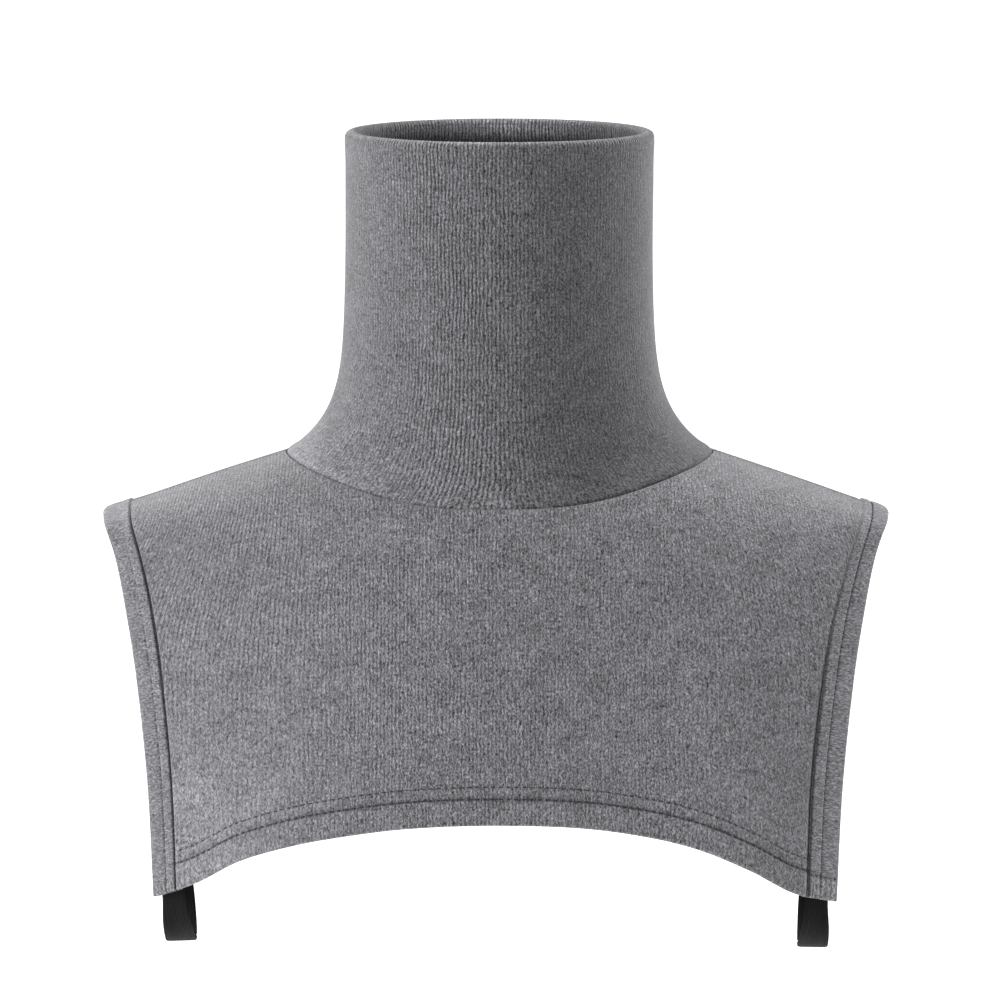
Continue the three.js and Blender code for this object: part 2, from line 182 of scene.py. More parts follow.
# Steps along the bindings, and lengths at which their mesh has its fine rows and spots
BINDING_STEPS = 150
BINDING_TIP_ROWS = 14
BINDING_TIP_LENGTH = 9
BINDING_END_ROWS = (5.2, 4.6, 4.2, 3.9, 3.6, 3.3, 3.0, 2.6, 2.0, 1.4, 0.8, 0.4, 0.0)
BINDING_EDGE_SPOTS = (0, 0.04, 0.12, 0.26, 0.45, 0.8, 1.4, 2.1)
BINDING_FACE_SPOTS = 26
BINDING_FOLD_TURNS = 12
BINDING_UNDER_SPOTS = 9
BINDING_INNER_SPOTS = 6
BINDING_LENGTH_SPOT = 20
TACK_SPOTS = 30
TURNED_RIBS = 5.0
BINDING_CONTRAST = 0.85

# Steps and sizes of the elastic's mesh
SEWN_STEPS = 9
LOOP_STEPS = 72
SPOTS_PER_CORD = 6
CORD_DEPTH = 0.1
WEAVE_PITCH = 0.8
PINCH = 0.09
PINCH_LENGTH = 1.6

# The hems' stitches: their stop short of the armhole, their points, and a length far from the neck seam
HEM_LINE_INSET = 14
HEM_LINE_STEPS = 400
FAR_DOWN = 99.0

# Stitches: their length as a share of their pitch, thread widths beside the needle line's, and their
# height over the hem's face and depth in the binding's face
HEM_STITCH_SHARE = 0.62
TOPSTITCH_SHARE = 0.55
UPPER_THREAD_SHARE = 0.7
TOPSTITCH_THREAD_SHARE = 0.8
HEM_STITCH_LIFT = 0.08
TOPSTITCH_SINK = 0.35
TACK_SINK = 0.2
UPPER_SEED = 9
TACK_SEED = 7

# Each row: name, place and size in metres, and the setting that holds the power
LIGHTS = (
    ("key_left", (-1.9, -0.4, 0.5), (1.4, 1.6), "key_power"),
    ("weak_right", (1.9, 0.2, 0.45), (1.0, 1.4), "right_power"),
    ("top", (0.55, 0.35, 2.0), (1.6, 1.6), "top_power"),
)


def ease(t):
    """A smooth step from 0 to 1."""
    t = np.clip(t, 0, 1)
    return t * t * (3 - 2 * t)


def rise(value, start, length):
    """A smooth step from 0 at a start to 1 at a length beyond it."""
    return ease((value - start) / length)


def ridge(distance, width):
    """A smooth ridge of height 1 whose half width is about `width`."""
    return np.exp(-((distance / width) ** 2))


def curve_through(table, column, at, starts_level=False):
    """A smooth curve through a table's rows, whose first column is the place."""
    rows = np.array(table, float)
    places, values = rows[:, 0], rows[:, column]
    before = np.r_[0, np.arange(len(rows) - 1)]
    after = np.r_[np.arange(1, len(rows)), len(rows) - 1]
    slopes = (values[after] - values[before]) / (places[after] - places[before])
    if starts_level:
        slopes[0] = 0
    at = np.clip(at, places[0], places[-1])
    i = np.clip(np.searchsorted(places, at), 1, len(rows) - 1)
    span = places[i] - places[i - 1]
    t = (at - places[i - 1]) / span
    bend = slopes[i - 1] * span * t * (1 - t) ** 2 - slopes[i] * span * t * t * (1 - t)
    return values[i - 1] + (values[i] - values[i - 1]) * t * t * (3 - 2 * t) + bend


def shoulder_line(x):
    """Height of the shoulder line over x."""
    reach = math.hypot(NECK_SEAM_HALF_WIDTH, SHOULDER_ROUNDING)
    return (reach - np.hypot(x, SHOULDER_ROUNDING)) * SHOULDER_SLOPE


def bib_depth(side, x, z):
    """How far the bib stands from the shoulder line, to the front or back."""
    wall = (side["depth"] - side["slope"] * z) * (1 - (x / BODY_HALF_WIDTH) ** 2)
    arch = np.sqrt(2 * SHOULDER_ARCH_RADIUS * np.maximum(shoulder_line(x) - z, 0))
    power = BODY_EDGE_SHARPNESS
    both = (wall**power + arch**power) ** (1 / power)
    across = (np.abs(x) - BUST_HALF_SPACING) / BUST_SPREAD
    down = (z + BUST_DROP) / BUST_SPREAD
    return wall * arch / both + side["swell"] * np.exp(-(across**2) - down**2)


def sway(z):
    """Sideways drift of the drape at a height."""
    return BIB_SWAY + (COLLAR_SWAY - BIB_SWAY) * ease((z + SWAY_DROP) / SWAY_DROP)


def seam_depth(side, x):
    """How far the neck seam stands from the shoulder line, seen from above."""
    share = np.minimum(np.abs(x) / NECK_SEAM_HALF_WIDTH, 1)
    return side["seam"] * (1 - share**NECK_SEAM_SQUARENESS) ** (1 / NECK_SEAM_SQUARENESS)


def seam_height(side, x):
    """Height of the neck seam over a point of the chest or back."""
    depth = seam_depth(side, x)
    high = shoulder_line(x)
    low = high - side["hem"]
    for _ in range(SEAM_SEARCH_STEPS):
        middle = (high + low) / 2
        above = bib_depth(side, x, middle) < depth
        high = np.where(above, middle, high)
        low = np.where(above, low, middle)
    return (high + low) / 2


def stacked(x, y, z):
    """Points with the drape's drift, from arrays of their coordinates."""
    x, y, z = np.broadcast_arrays(x, y, z)
    return np.stack([x + sway(z), y, z], axis=-1)


def bib_point(side, u, v):
    """A point of the bib: u runs from -1 to 1 between the armholes, v from its top to its hem."""
    top_x = u * CLOTH_TIP
    over_shoulder = np.abs(top_x) >= NECK_SEAM_HALF_WIDTH
    top = np.where(over_shoulder, shoulder_line(top_x), seam_height(side, top_x))
    right = curve_through(HEM_SHAPE, 1, np.abs(u), True) * (RIGHT_CORNER_DROP - side["hem"])
    left = curve_through(HEM_SHAPE, 2, np.abs(u), True) * (LEFT_CORNER_DROP - side["hem"])
    bottom = -side["hem"] - np.where(u < 0, right, left)
    x = u * (CLOTH_TIP - side["inset"] * curve_through(ARMHOLE_SHAPE, 1, v))
    z = top + v * (bottom - top)
    return stacked(x, side["towards"] * bib_depth(side, x, z), z)


def row_power(u):
    """How much the rows crowd towards the top: 1 at the middle, 2 over the shoulders."""
    return 1 + rise(np.abs(u) * CLOTH_TIP / NECK_SEAM_HALF_WIDTH, 0.5, 0.5)


def unit(vectors):
    """The vectors at length 1."""
    return vectors / np.linalg.norm(vectors, axis=-1, keepdims=True)


def bib_frame(side, u, row):
    """Points of the bib, their outward normals, and millimetres per unit of u."""
    power = row_power(u)
    low = np.maximum(row - SLOPE_STEP, 0)
    point = bib_point(side, u, row**power)
    along_v = bib_point(side, u, (row + SLOPE_STEP) ** power) - bib_point(side, u, low**power)
    along_u = bib_point(side, u + SLOPE_STEP, row**power) - bib_point(side, u - SLOPE_STEP, row**power)
    normal = unit(np.cross(along_v, along_u) * -side["towards"])
    return point, normal, np.linalg.norm(along_u, axis=-1) / (2 * SLOPE_STEP)


def running_length(points):
    """Length along the last axis of a list of points, starting at 0."""
    steps = np.linalg.norm(np.diff(points, axis=-2), axis=-1)
    return np.concatenate([np.zeros(steps.shape[:-1] + (1,)), np.cumsum(steps, axis=-1)], axis=-1)


def column_lengths(side, u):
    """Even samples down the bib's columns u, and the lengths from the top edge to them."""
    samples = np.linspace(0, 1, LENGTH_SAMPLES)
    return samples, running_length(bib_point(side, u[:, None], samples ** row_power(u)[:, None]))


def rows_at(side, u, down, up):
    """Rows of each column u: lengths below the top edge, an even middle, and lengths above the hem."""
    samples, lengths = column_lengths(side, u)
    rows = []
    for column in lengths:
        whole = column[-1]
        middle = np.linspace(down[-1], whole - up[0], BIB_MIDDLE_ROWS + 2)[1:-1]
        wanted = np.concatenate([down, middle, whole - np.array(up)])
        rows.append(np.interp(wanted, column, samples))
    return np.array(rows)


def undulation(x, z, size):
    """Very soft unevenness of the hanging cloth, in millimetres."""
    return size * (
        np.sin(x / 23 + z / 61 + 0.4) * np.sin(z / 31 - x / 77 + 1.1)
        + 0.6 * np.sin(x / 13.7 - z / 29 + 2.3) * np.sin(z / 17 + x / 41 + 0.2)
    )


def band_width(settings, u, z):
    """Width of the binding at a height, on the side of the sign of u."""
    binding = settings.binding
    left = binding.width_left + binding.widening * rise(-z, *LEFT_WIDENS)
    left = left - binding.narrowing_left * (1 - rise(-z, *LEFT_NARROWS))
    right = binding.width_right - binding.narrowing_right * (1 - rise(-z, *RIGHT_NARROWS))
    return np.where(np.asarray(u) > 0, left, right) / MM


def ditch_softness(u):
    """How wide the dip beside the binding is, for the side of the sign of u."""
    return np.where(np.asarray(u) > 0, LEFT_DITCH_WIDTH, RIGHT_DITCH_WIDTH)


def ditch_strength(u, down):
    """How deep the dip beside the binding is and how dark its painted shade, from 0 to 1, at a length below
    the shoulder.
    """
    left = rise(down, *LEFT_DITCH_DEEPENS)
    right = rise(down, *RIGHT_DITCH_DEEPENS)
    return FAINTEST_DITCH + (1 - FAINTEST_DITCH) * np.where(np.asarray(u) > 0, left, right)


def bib_relief(settings, past_band, soft, strength, down, up):
    """Height of the cloth's outer face over its plain surface, from the lengths to its edges."""
    hem = settings.hem
    needle = hem.needle_line / MM
    upper = hem.upper_line / MM
    sunk = -BINDING_SINK * (0.3 + 0.7 * strength) * (1 - ease((past_band - 0.1) / soft))
    sunk = np.where(past_band < -0.5, -BINDING_SINK, sunk)
    seam = -0.62 * ridge(down, 0.7) + 0.28 * ridge(down - 3.2, 1.9)
    doubled = ease((needle + 0.6 - up) / 2.2) + 0.55 * ridge(up - (needle + upper) / 2, 2.0)
    lines = -0.5 * ridge(up - needle, 0.7) - 0.25 * ridge(up - upper, 0.55)
    beside = 0.35 * strength * ridge(past_band - soft - 1.5, 2.5)
    inside = ease(past_band / 1.5)
    return sunk + seam + (hem.puff / MM * doubled + lines + beside) * inside


def bib_shade(settings, over_shoulder, past_band, soft, strength, down, up):
    """Brightness that the dips beside seams and stitches leave, 1 for cloth away from them."""
    hem = settings.hem
    inside = ease(past_band / 1.5)
    from_needle = up - hem.needle_line / MM
    needle = 0.32 * ridge(from_needle, 0.6) + 0.16 * ridge(from_needle - 0.4, 1.8)
    upper = 0.12 * ridge(up - hem.upper_line / MM, 0.5)
    broad = 0.16 * (soft == LEFT_DITCH_WIDTH) * ridge(past_band, 3.8)
    ditch = strength * (0.85 * ridge(past_band, 0.2 + 0.12 * soft) + broad)
    seam = np.where(over_shoulder, 0.55 * ridge(down, 1.5), 0.18 * ridge(down, 0.6))
    hem_edge = 0.12 * ridge(up, 2.0)
    return 1 - np.clip(ditch + seam + (needle + upper + hem_edge) * inside, 0, 0.85)


def bib_painted_light(point):
    """Painted light and shade over the panels: darker on the wearer's left and high on the right, lighter
    low on the right and on the left chest.
    """
    x, z = point[..., 0], point[..., 2]
    painted_shade_left = 0.17 * rise(x, 80, 45) * rise(-z, 35, 75)
    painted_shade_right = 0.07 * rise(-x, 85, 35) * (1 - rise(-z, 95, 40))
    painted_light_corner = 0.15 * ridge(x + 125, 40) * rise(-z, 105, 40)
    painted_light_chest = 0.08 * ridge(x - 75, 40) * rise(-z, 50, 40)
    return 1 - (painted_shade_left + painted_shade_right) + (painted_light_corner + painted_light_chest)


def bib_surface(settings, side, u, row, down, up):
    """Outer face of a panel: its points, normals, lengths in past the binding, heights and shades."""
    point, normal, per_u = bib_frame(side, u, row)
    inward = (1 - np.abs(u)) * per_u
    past_band = inward - band_width(settings, u, point[..., 2])
    soft = ditch_softness(u)
    strength = ditch_strength(u, down)
    height = bib_relief(settings, past_band, soft, strength, down, up)
    height = height + undulation(point[..., 0], point[..., 2], 0.22) * ease(inward / 30)
    over_shoulder = np.abs(point[..., 0]) > NECK_SEAM_HALF_WIDTH + 2
    shade = bib_shade(settings, over_shoulder, past_band, soft, strength, down, up)
    return point, normal, past_band, height, shade


def wale_shift(across, z):
    """How far the wales have run outward at a height, on the cloth beside the shoulders."""
    ran = rise(np.abs(across), *WALE_RUN_ACROSS) * rise(-z, *WALE_RUN_DOWN)
    return WALE_RUN * ran * np.sign(across)


def wale_place(side, points):
    """Place across the knit's wales, in millimetres, so that the lines fan out as they hang."""
    reach = BODY_HALF_WIDTH * GIRTH_SHARE
    xs = np.linspace(-reach, reach, GIRTH_SAMPLES)
    girth = running_length(np.stack([xs, bib_depth(side, xs, GIRTH_LEVEL)], axis=-1))
    across = np.interp(points[..., 0], xs, girth - girth[len(xs) // 2])
    place = across
    for _ in range(WALE_PASSES):
        place = (place + across - wale_shift(place, points[..., 2])) / 2
    return place


def grid_faces(rows, columns, wrap_rows, wrap_columns):
    """Quads of a grid of points, as an array of indices and the matching corners."""
    last_row = rows if wrap_rows else rows - 1
    last_column = columns if wrap_columns else columns - 1
    i, j = np.meshgrid(np.arange(last_row), np.arange(last_column), indexing="ij")
    corners = [(i, j), (i + 1, j), (i + 1, j + 1), (i, j + 1)]
    index = [(a % rows) * columns + (b % columns) for a, b in corners]
    place = [a * (columns + wrap_columns) + b for a, b in corners]
    flat = lambda arrays: np.stack([a.ravel() for a in arrays], axis=-1)
    return flat(index), flat(place)


def signed_volume(points, quads):
    """Six times the volume inside the quads, below 0 where they face inward."""
    a, b, c, d = (points[quads[:, k]] for k in range(4))
    return float((np.cross(a, b) * c).sum() + (np.cross(a, c) * d).sum())


def mesh_piece(name, points, quads, corner_uv, material, looks=None):
    """A smooth-shaded mesh object from quads, with its knit coordinates and its looks at each point."""
    if signed_volume(points, quads) < 0:
        quads = quads[:, ::-1]
        corner_uv = corner_uv[:, ::-1]
    mesh = bpy.data.meshes.new(name)
    mesh.from_pydata((points * MM).tolist(), [], quads.tolist())
    layer = mesh.uv_layers.new(name="Knit")
    layer.data.foreach_set("uv", corner_uv.reshape(-1).astype(np.float32))
    for kind, values in (looks or {}).items():
        layer = mesh.attributes.new(kind, "FLOAT", "POINT")
        layer.data.foreach_set("value", values.reshape(-1).astype(np.float32))
    mesh.materials.append(material)
    mesh.shade_smooth()
    mesh.validate(clean_customdata=False)
    piece = bpy.data.objects.new(name, mesh)
    bpy.context.scene.collection.objects.link(piece)
    return piece


def swept_piece(name, rings, uv, material, looks=None):
    """A skin through closed rings of points, capped across the ring at both ends."""
    count, around = rings.shape[:2]
    quads, places = grid_faces(count, around, False, True)
    half = np.arange(around // 2 - 1)
    cap = np.stack([half, half + 1, around - 2 - half, around - 1 - half], axis=-1)
    far = cap[:, ::-1]
    quads = np.concatenate([quads, cap, far + (count - 1) * around])
    places = np.concatenate([places, cap, far + (count - 1) * (around + 1)])
    corner_uv = uv.reshape(-1, 2)[places]
    return mesh_piece(name, rings.reshape(-1, 3), quads, corner_uv, material, looks)


def looks_of(settings, kind):
    """The material of a kind of cloth, made once."""
    found = bpy.data.materials.get(kind)
    return found or MATERIAL_MAKERS[kind](settings, kind)


class Shades:
    """Builds a material's node tree from plain formulas."""

    def __init__(self, name):
        self.material = bpy.data.materials.new(name)
        self.material.use_nodes = True
        self.tree = self.material.node_tree
        self.surface = self.tree.nodes["Principled BSDF"]

    def node(self, kind, inputs=(), **settings):
        made = self.tree.nodes.new(kind)
        for key, value in settings.items():
            setattr(made, key, value)
        for key, value in dict(inputs).items():
            self.feed(made.inputs[key], value)
        return made

    def feed(self, socket, value):
        """Links an output to a socket, or sets the socket to a plain value."""
        if isinstance(value, bpy.types.NodeSocket):
            self.tree.links.new(value, socket)
        else:
            socket.default_value = value

    def math(self, operation, *values):
        """One step of arithmetic."""
        inputs = {i: value for i, value in enumerate(values)}
        return self.node("ShaderNodeMath", inputs, operation=operation).outputs[0]

    def add(self, first, *others):
        for other in others:
            first = self.math("ADD", first, other)
        return first

    def times(self, first, *others):
        for other in others:
            first = self.math("MULTIPLY", first, other)
        return first

    def less(self, first, second):
        return self.math("SUBTRACT", first, second)

    def ramp(self, value, low, high, to_low=0.0, to_high=1.0):
        """Maps a value smoothly from one span to another."""
        inputs = {"Value": value, "From Min": low, "From Max": high, "To Min": to_low, "To Max": to_high}
        return self.node("ShaderNodeMapRange", inputs, interpolation_type="SMOOTHSTEP").outputs[0]

    def place(self, x, y, z=0.0):
        return self.node("ShaderNodeCombineXYZ", {"X": x, "Y": y, "Z": z}).outputs[0]

    def noise(self, vector, scale=1.0, detail=2.0, roughness=0.5):
        """Noise that swings about 0."""
        inputs = {"Vector": vector, "Scale": scale, "Detail": detail, "Roughness": roughness}
        made = self.node("ShaderNodeTexNoise", inputs, noise_dimensions="3D")
        return self.less(made.outputs[0], 0.5)

    def flecks(self, across, along, layer=0.0, **more):
        """Noise on a layer of its own: places across and along the knit come with their scales."""
        return self.noise(self.place(self.times(*across), self.times(*along), layer), **more)

    def wave(self, place):
        """1 at whole numbers and 0 half way between."""
        turned = self.math("COSINE", self.times(place, 2 * math.pi))
        return self.add(self.times(turned, 0.5), 0.5)

    def knit_places(self):
        """Places across the wales and along the courses."""
        made = self.node("ShaderNodeUVMap", uv_map="Knit")
        split = self.node("ShaderNodeSeparateXYZ", {"Vector": made.outputs[0]})
        return split.outputs[0], split.outputs[1]

    def tinted(self, colour, brightness):
        """A colour scaled by a brightness."""
        inputs = {0: colour, "Scale": brightness}
        return self.node("ShaderNodeVectorMath", inputs, operation="SCALE").outputs[0]

    def look(self, name):
        """A value that the mesh holds at each point."""
        return self.node("ShaderNodeAttribute", attribute_name=name).outputs["Fac"]

    def bump(self, height, strength, distance):
        inputs = {"Height": height, "Strength": strength, "Distance": distance}
        return self.node("ShaderNodeBump", inputs).outputs[0]

    def finish(self, sockets):
        """The material, with the sockets of its surface set by name."""
        for key, value in sockets.items():
            self.feed(self.surface.inputs[key], value)
        return self.material


def heather_knit(settings, name):
    """Brushed rib knit: fine wales, heather flecks, and a soft nap."""
    knit = settings.knit
    ribs = knit.cross_rib if name == "cross_cut_knit" else knit.rib
    # The collar's copy of the knit is darker: painted shade for the dimmer light on the collar.
    painted_shade = knit.collar_painted_shade if name == "collar_knit" else 1.0
    shades = Shades(name)
    u, v = shades.knit_places()
    drift = shades.flecks((u, 0.07), (v, 0.05))
    wobble = shades.flecks((u, 0.7), (v, 0.3))
    warped = shades.add(u, shades.times(drift, 1.2), shades.times(wobble, 1.15))
    wale = shades.wave(warped)
    course = shades.wave(shades.add(v, shades.times(wobble, 1.2), shades.times(wale, 0.35)))
    patch = shades.flecks((u, 0.05), (v, 0.04), 3.7, detail=3.0)
    clear = shades.times(shades.ramp(patch, -0.1, 0.12, 0.75, 1.2), shades.look("ribs"))
    crests = shades.math("POWER", wale, 0.55)

    soft_fleck = shades.flecks((warped, 1.1), (v, 0.35), 9.1, detail=1.0)
    fleck = shades.flecks((warped, 2.1), (v, 0.6), 5.3)
    grain = shades.flecks((u, 3.1), (v, 1.25), 1.9, detail=1.0)
    bright = shades.flecks((warped, 1.9), (v, 1.0), 21.0, detail=0.0)
    specks = shades.ramp(bright, 0.19, 0.26)
    dark = shades.flecks((warped, 1.6), (v, 0.6), 33.0, detail=0.0)
    pits = shades.ramp(dark, 0.14, 0.22)
    mottle = shades.flecks((u, 0.13), (v, 0.1), 14.0, detail=3.0, roughness=0.6)

    contrast = shades.look("contrast")
    spread = shades.add(
        shades.times(shades.less(crests, 0.64), clear, ribs * 1.3),
        shades.times(shades.less(course, 0.5), 0.12),
        shades.times(soft_fleck, knit.fleck * 1.0),
        shades.times(fleck, knit.fleck * 1.7),
        shades.times(grain, knit.fleck * 3.5),
        shades.times(specks, crests, knit.specks),
        shades.times(pits, -0.34),
        shades.times(mottle, 0.85),
    )
    level = shades.math("MAXIMUM", shades.add(1.0, shades.times(spread, contrast, 0.49)), 0.3)
    brightness = shades.times(level, level, painted_shade * 0.97)
    height = shades.add(
        shades.times(crests, clear, ribs * 2.2),
        shades.times(course, 0.25),
        shades.times(fleck, 1.4),
        shades.times(grain, 1.6),
    )
    return shades.finish(
        {
            # The colour is scaled by the painted shade and light that each mesh holds.
            "Base Color": shades.tinted(tuple(knit.colour), shades.times(brightness, shades.look("shade"))),
            "Roughness": 0.95,
            "Specular IOR Level": 0.12,
            "Sheen Weight": knit.sheen,
            "Sheen Roughness": 0.5,
            "Normal": shades.bump(height, contrast, knit.rib_height),
        }
    )


def black_elastic(settings, name):
    """Woven black elastic: lengthwise cords with a faint cross weave and a few pale hairs."""
    shades = Shades(name)
    u, v = shades.knit_places()
    cords = shades.wave(u)
    weave = shades.wave(shades.add(v, shades.times(cords, 0.5)))
    streak = shades.flecks((u, 0.9), (v, 0.05), detail=3.0)
    dust = shades.flecks((u, 2.2), (v, 0.7), 4.0)
    brightness = shades.add(
        0.85,
        shades.times(cords, 0.25),
        shades.times(weave, 0.15),
        shades.times(streak, 1.6),
        shades.times(shades.ramp(dust, 0.18, 0.32), 1.5),
    )
    colour = shades.tinted(tuple(settings.elastic.colour), shades.math("MAXIMUM", brightness, 0.3))
    height = shades.add(shades.times(cords, 0.6), shades.times(weave, 0.5), dust)
    return shades.finish(
        {
            "Base Color": colour,
            "Roughness": 0.8,
            "Specular IOR Level": 0.12,
            "Normal": shades.bump(height, 0.7, 0.00015),
        }
    )


def sewing_thread(settings, name):
    """Spun thread, darker than the cloth that it sinks into: the thread is real, its dark colour is painted
    shade for the dents.
    """
    shades = Shades(name)
    coordinates = shades.node("ShaderNodeTexCoord").outputs["Object"]
    twist = shades.noise(coordinates, scale=1400.0)
    brightness = shades.add(1.0, shades.times(twist, 0.9))
    return shades.finish(
        {
            "Base Color": shades.tinted(tuple(settings.hem.thread), brightness),
            "Roughness": 0.8,
            "Specular IOR Level": 0.2,
            "Normal": shades.bump(twist, 0.5, 0.0001),
        }
    )


def studio_white(settings, name):
    """The pale floor, bright enough to read as plain white."""
    shades = Shades(name)
    coordinates = shades.node("ShaderNodeTexCoord").outputs["Object"]
    speckle = shades.noise(coordinates, scale=30.0)
    brightness = shades.add(1.0, shades.times(speckle, 0.01))
    back = shades.node("ShaderNodeSeparateXYZ", {"Vector": coordinates}).outputs[1]
    stage = settings.stage
    return shades.finish(
        {
            "Base Color": shades.tinted((0.9, 0.9, 0.91), brightness),
            "Roughness": 0.9,
            "Emission Color": (1.0, 1.0, 1.0, 1.0),
            "Emission Strength": shades.ramp(back, 0.2, 1.4, stage.near_glow, stage.far_glow),
        }
    )


MATERIAL_MAKERS = {
    "heather_knit": heather_knit,
    "collar_knit": heather_knit,
    "cross_cut_knit": heather_knit,
    "black_elastic": black_elastic,
    "sewing_thread": sewing_thread,
    "studio_white": studio_white,
}

def seam_place(turn):
    """Where the neck seam lies from side to side at a turn round the collar."""
    c = np.cos(2 * np.pi * turn)
    return NECK_SEAM_HALF_WIDTH * np.sign(c) * np.abs(c) ** (2 / NECK_SEAM_SQUARENESS)


def collar_point(turn, share):
    """A point of the collar's plain outer surface: turn runs round it, share from foot to rim."""
    angle = 2 * np.pi * turn
    s = np.sin(angle)
    seam_x = seam_place(turn)
    front = s < 0
    height = np.where(front, seam_height(FRONT, seam_x), seam_height(BACK, seam_x))
    seam_y = np.where(front, -seam_depth(FRONT, seam_x), seam_depth(BACK, seam_x))
    rim = RIM_HEIGHT + COLLAR_HALF_DEPTH * s * RIM_TILT
    z = height + share * (rim - height)
    tube_y = COLLAR_HALF_DEPTH * s - RIM_FORWARD * z / RIM_HEIGHT
    foot_y = COLLAR_HALF_DEPTH * s - RIM_FORWARD * height / RIM_HEIGHT
    flare = np.exp((height - z) / FLARE_LENGTH)
    tube_x = COLLAR_HALF_WIDTH * np.cos(angle)
    return stacked(tube_x + (seam_x - tube_x) * flare, tube_y + (seam_y - foot_y) * flare, z)


def collar_frame(turn, share):
    """Points of the collar, their outward normals and the way up."""
    low = np.maximum(share - SLOPE_STEP, 0)
    high = np.minimum(share + SLOPE_STEP, 1)
    up = unit(collar_point(turn, high) - collar_point(turn, low))
    around = collar_point(turn + SLOPE_STEP, share) - collar_point(turn - SLOPE_STEP, share)
    return collar_point(turn, share), unit(np.cross(around, up)), up


def bib_normal_at_seam(turn):
    """The bib's outward normals where the collar's columns are sewn on."""
    u = seam_place(turn) / CLOTH_TIP
    front = bib_frame(FRONT, u, NEAR_TOP_ROW)[1]
    back = bib_frame(BACK, u, NEAR_TOP_ROW)[1]
    return np.where((np.sin(2 * np.pi * turn) < 0)[:, None], front, back)


def lifted(point, normal, height):
    """Points moved along their normals."""
    return point + normal * np.asarray(height)[..., None]


def collar_shares(turn, top_inset):
    """Shares of each column at the mesh's rows, and their lengths below the fold."""
    samples = np.linspace(0, 1, LENGTH_SAMPLES)
    lengths = running_length(collar_point(turn[:, None], samples))
    shares, depths = [], []
    for column in lengths:
        top = column[-1] - top_inset
        middle = np.linspace(COLLAR_FOOT_ROWS[-1], top - COLLAR_TOP_ROWS[0], COLLAR_MIDDLE_ROWS + 2)[1:-1]
        wanted = np.concatenate([COLLAR_FOOT_ROWS, middle, top - np.array(COLLAR_TOP_ROWS)])
        shares.append(np.interp(wanted, column, samples))
        depths.append(top - wanted)
    return np.array(shares), np.array(depths)


def mouth_shades(rim, depth):
    """Painted light and shade of the fold over the rim, with a painted highlight along its crest in front,
    and of the collar's inside at its depth below the fold: painted light just under the rim, and at the
    back painted shade deeper down.
    """
    x, y = rim[..., 0], rim[..., 1]
    behind = rise(y, -25, 40)
    back_highlight = 0.9 + 3.0 * ridge(x + 2, 30)
    over = np.arange(1, RIM_TURNS) / RIM_TURNS
    # Painted highlight along the crest of the front fold.
    crest = 0.2 + 0.4 * rise(x, -50, 45) + 0.25 * rise(x, 5, 30)
    front_fold = 1 + crest * np.sin(np.pi * over) ** 4
    back_fold = 1 + 0.45 * (back_highlight - 1) * rise(over, 0.45, 0.5)
    # Painted light just under the rim inside, and at the back painted shade deeper down.
    front_wall = 1.7 - 0.7 * ease(depth / 24)
    back_wall = back_highlight * (1 - INSIDE_PAINTED_SHADE * ease(depth / INSIDE_PAINTED_SHADE_DEPTH))
    back_wall = back_wall + 0.4 * rise(depth, 9, 12)
    fold = front_fold + (back_fold - front_fold) * behind
    return fold, front_wall + (back_wall - front_wall) * behind


def collar_looks(rings, from_foot, rim, inside_depth):
    """Painted light and shade, rib clearness and contrast at each point of the collar."""
    x, y = rings[..., 0], rings[..., 1]
    outer_rows = from_foot.shape[1]
    near_foot = np.maximum(from_foot, 0)
    hidden = np.ones((COLLAR_COLUMNS, HIDDEN_POINTS))
    # Painted shade in the neck seam's groove, and painted light on the foot that grows towards the wearer's
    # right.
    seam = 1 - 0.18 * ridge(from_foot, 0.6)
    sideways = np.clip(0.25 - x[:, :outer_rows] / 140, 0, 1.0)
    seam = seam * (1 + sideways * np.exp(-near_foot / 24))
    in_front = rise(-y, -10, 30)
    shade = np.concatenate([seam, *mouth_shades(rim, inside_depth), hidden], axis=1)
    # Painted shade on the front towards the wearer's left, and a little painted light in the middle of the
    # front.
    shade = shade * (1 - LEFT_PAINTED_SHADE * rise(x, -8, 45) * rise(-y, -30, 40))
    shade = shade * (1 + 0.05 * in_front * ridge(x + 4, 25))
    clear = in_front * ridge(x - CLEAR_RIBS_AT, CLEAR_RIBS_WIDTH)
    ribs = 0.4 + 1.55 * clear
    ribs[:, :outer_rows] *= 1 - 0.4 * np.exp(-near_foot / 22)
    ribs[:, outer_rows:] = 1.9
    return {"shade": shade, "ribs": ribs, "contrast": 0.88 + 0.1 * clear}


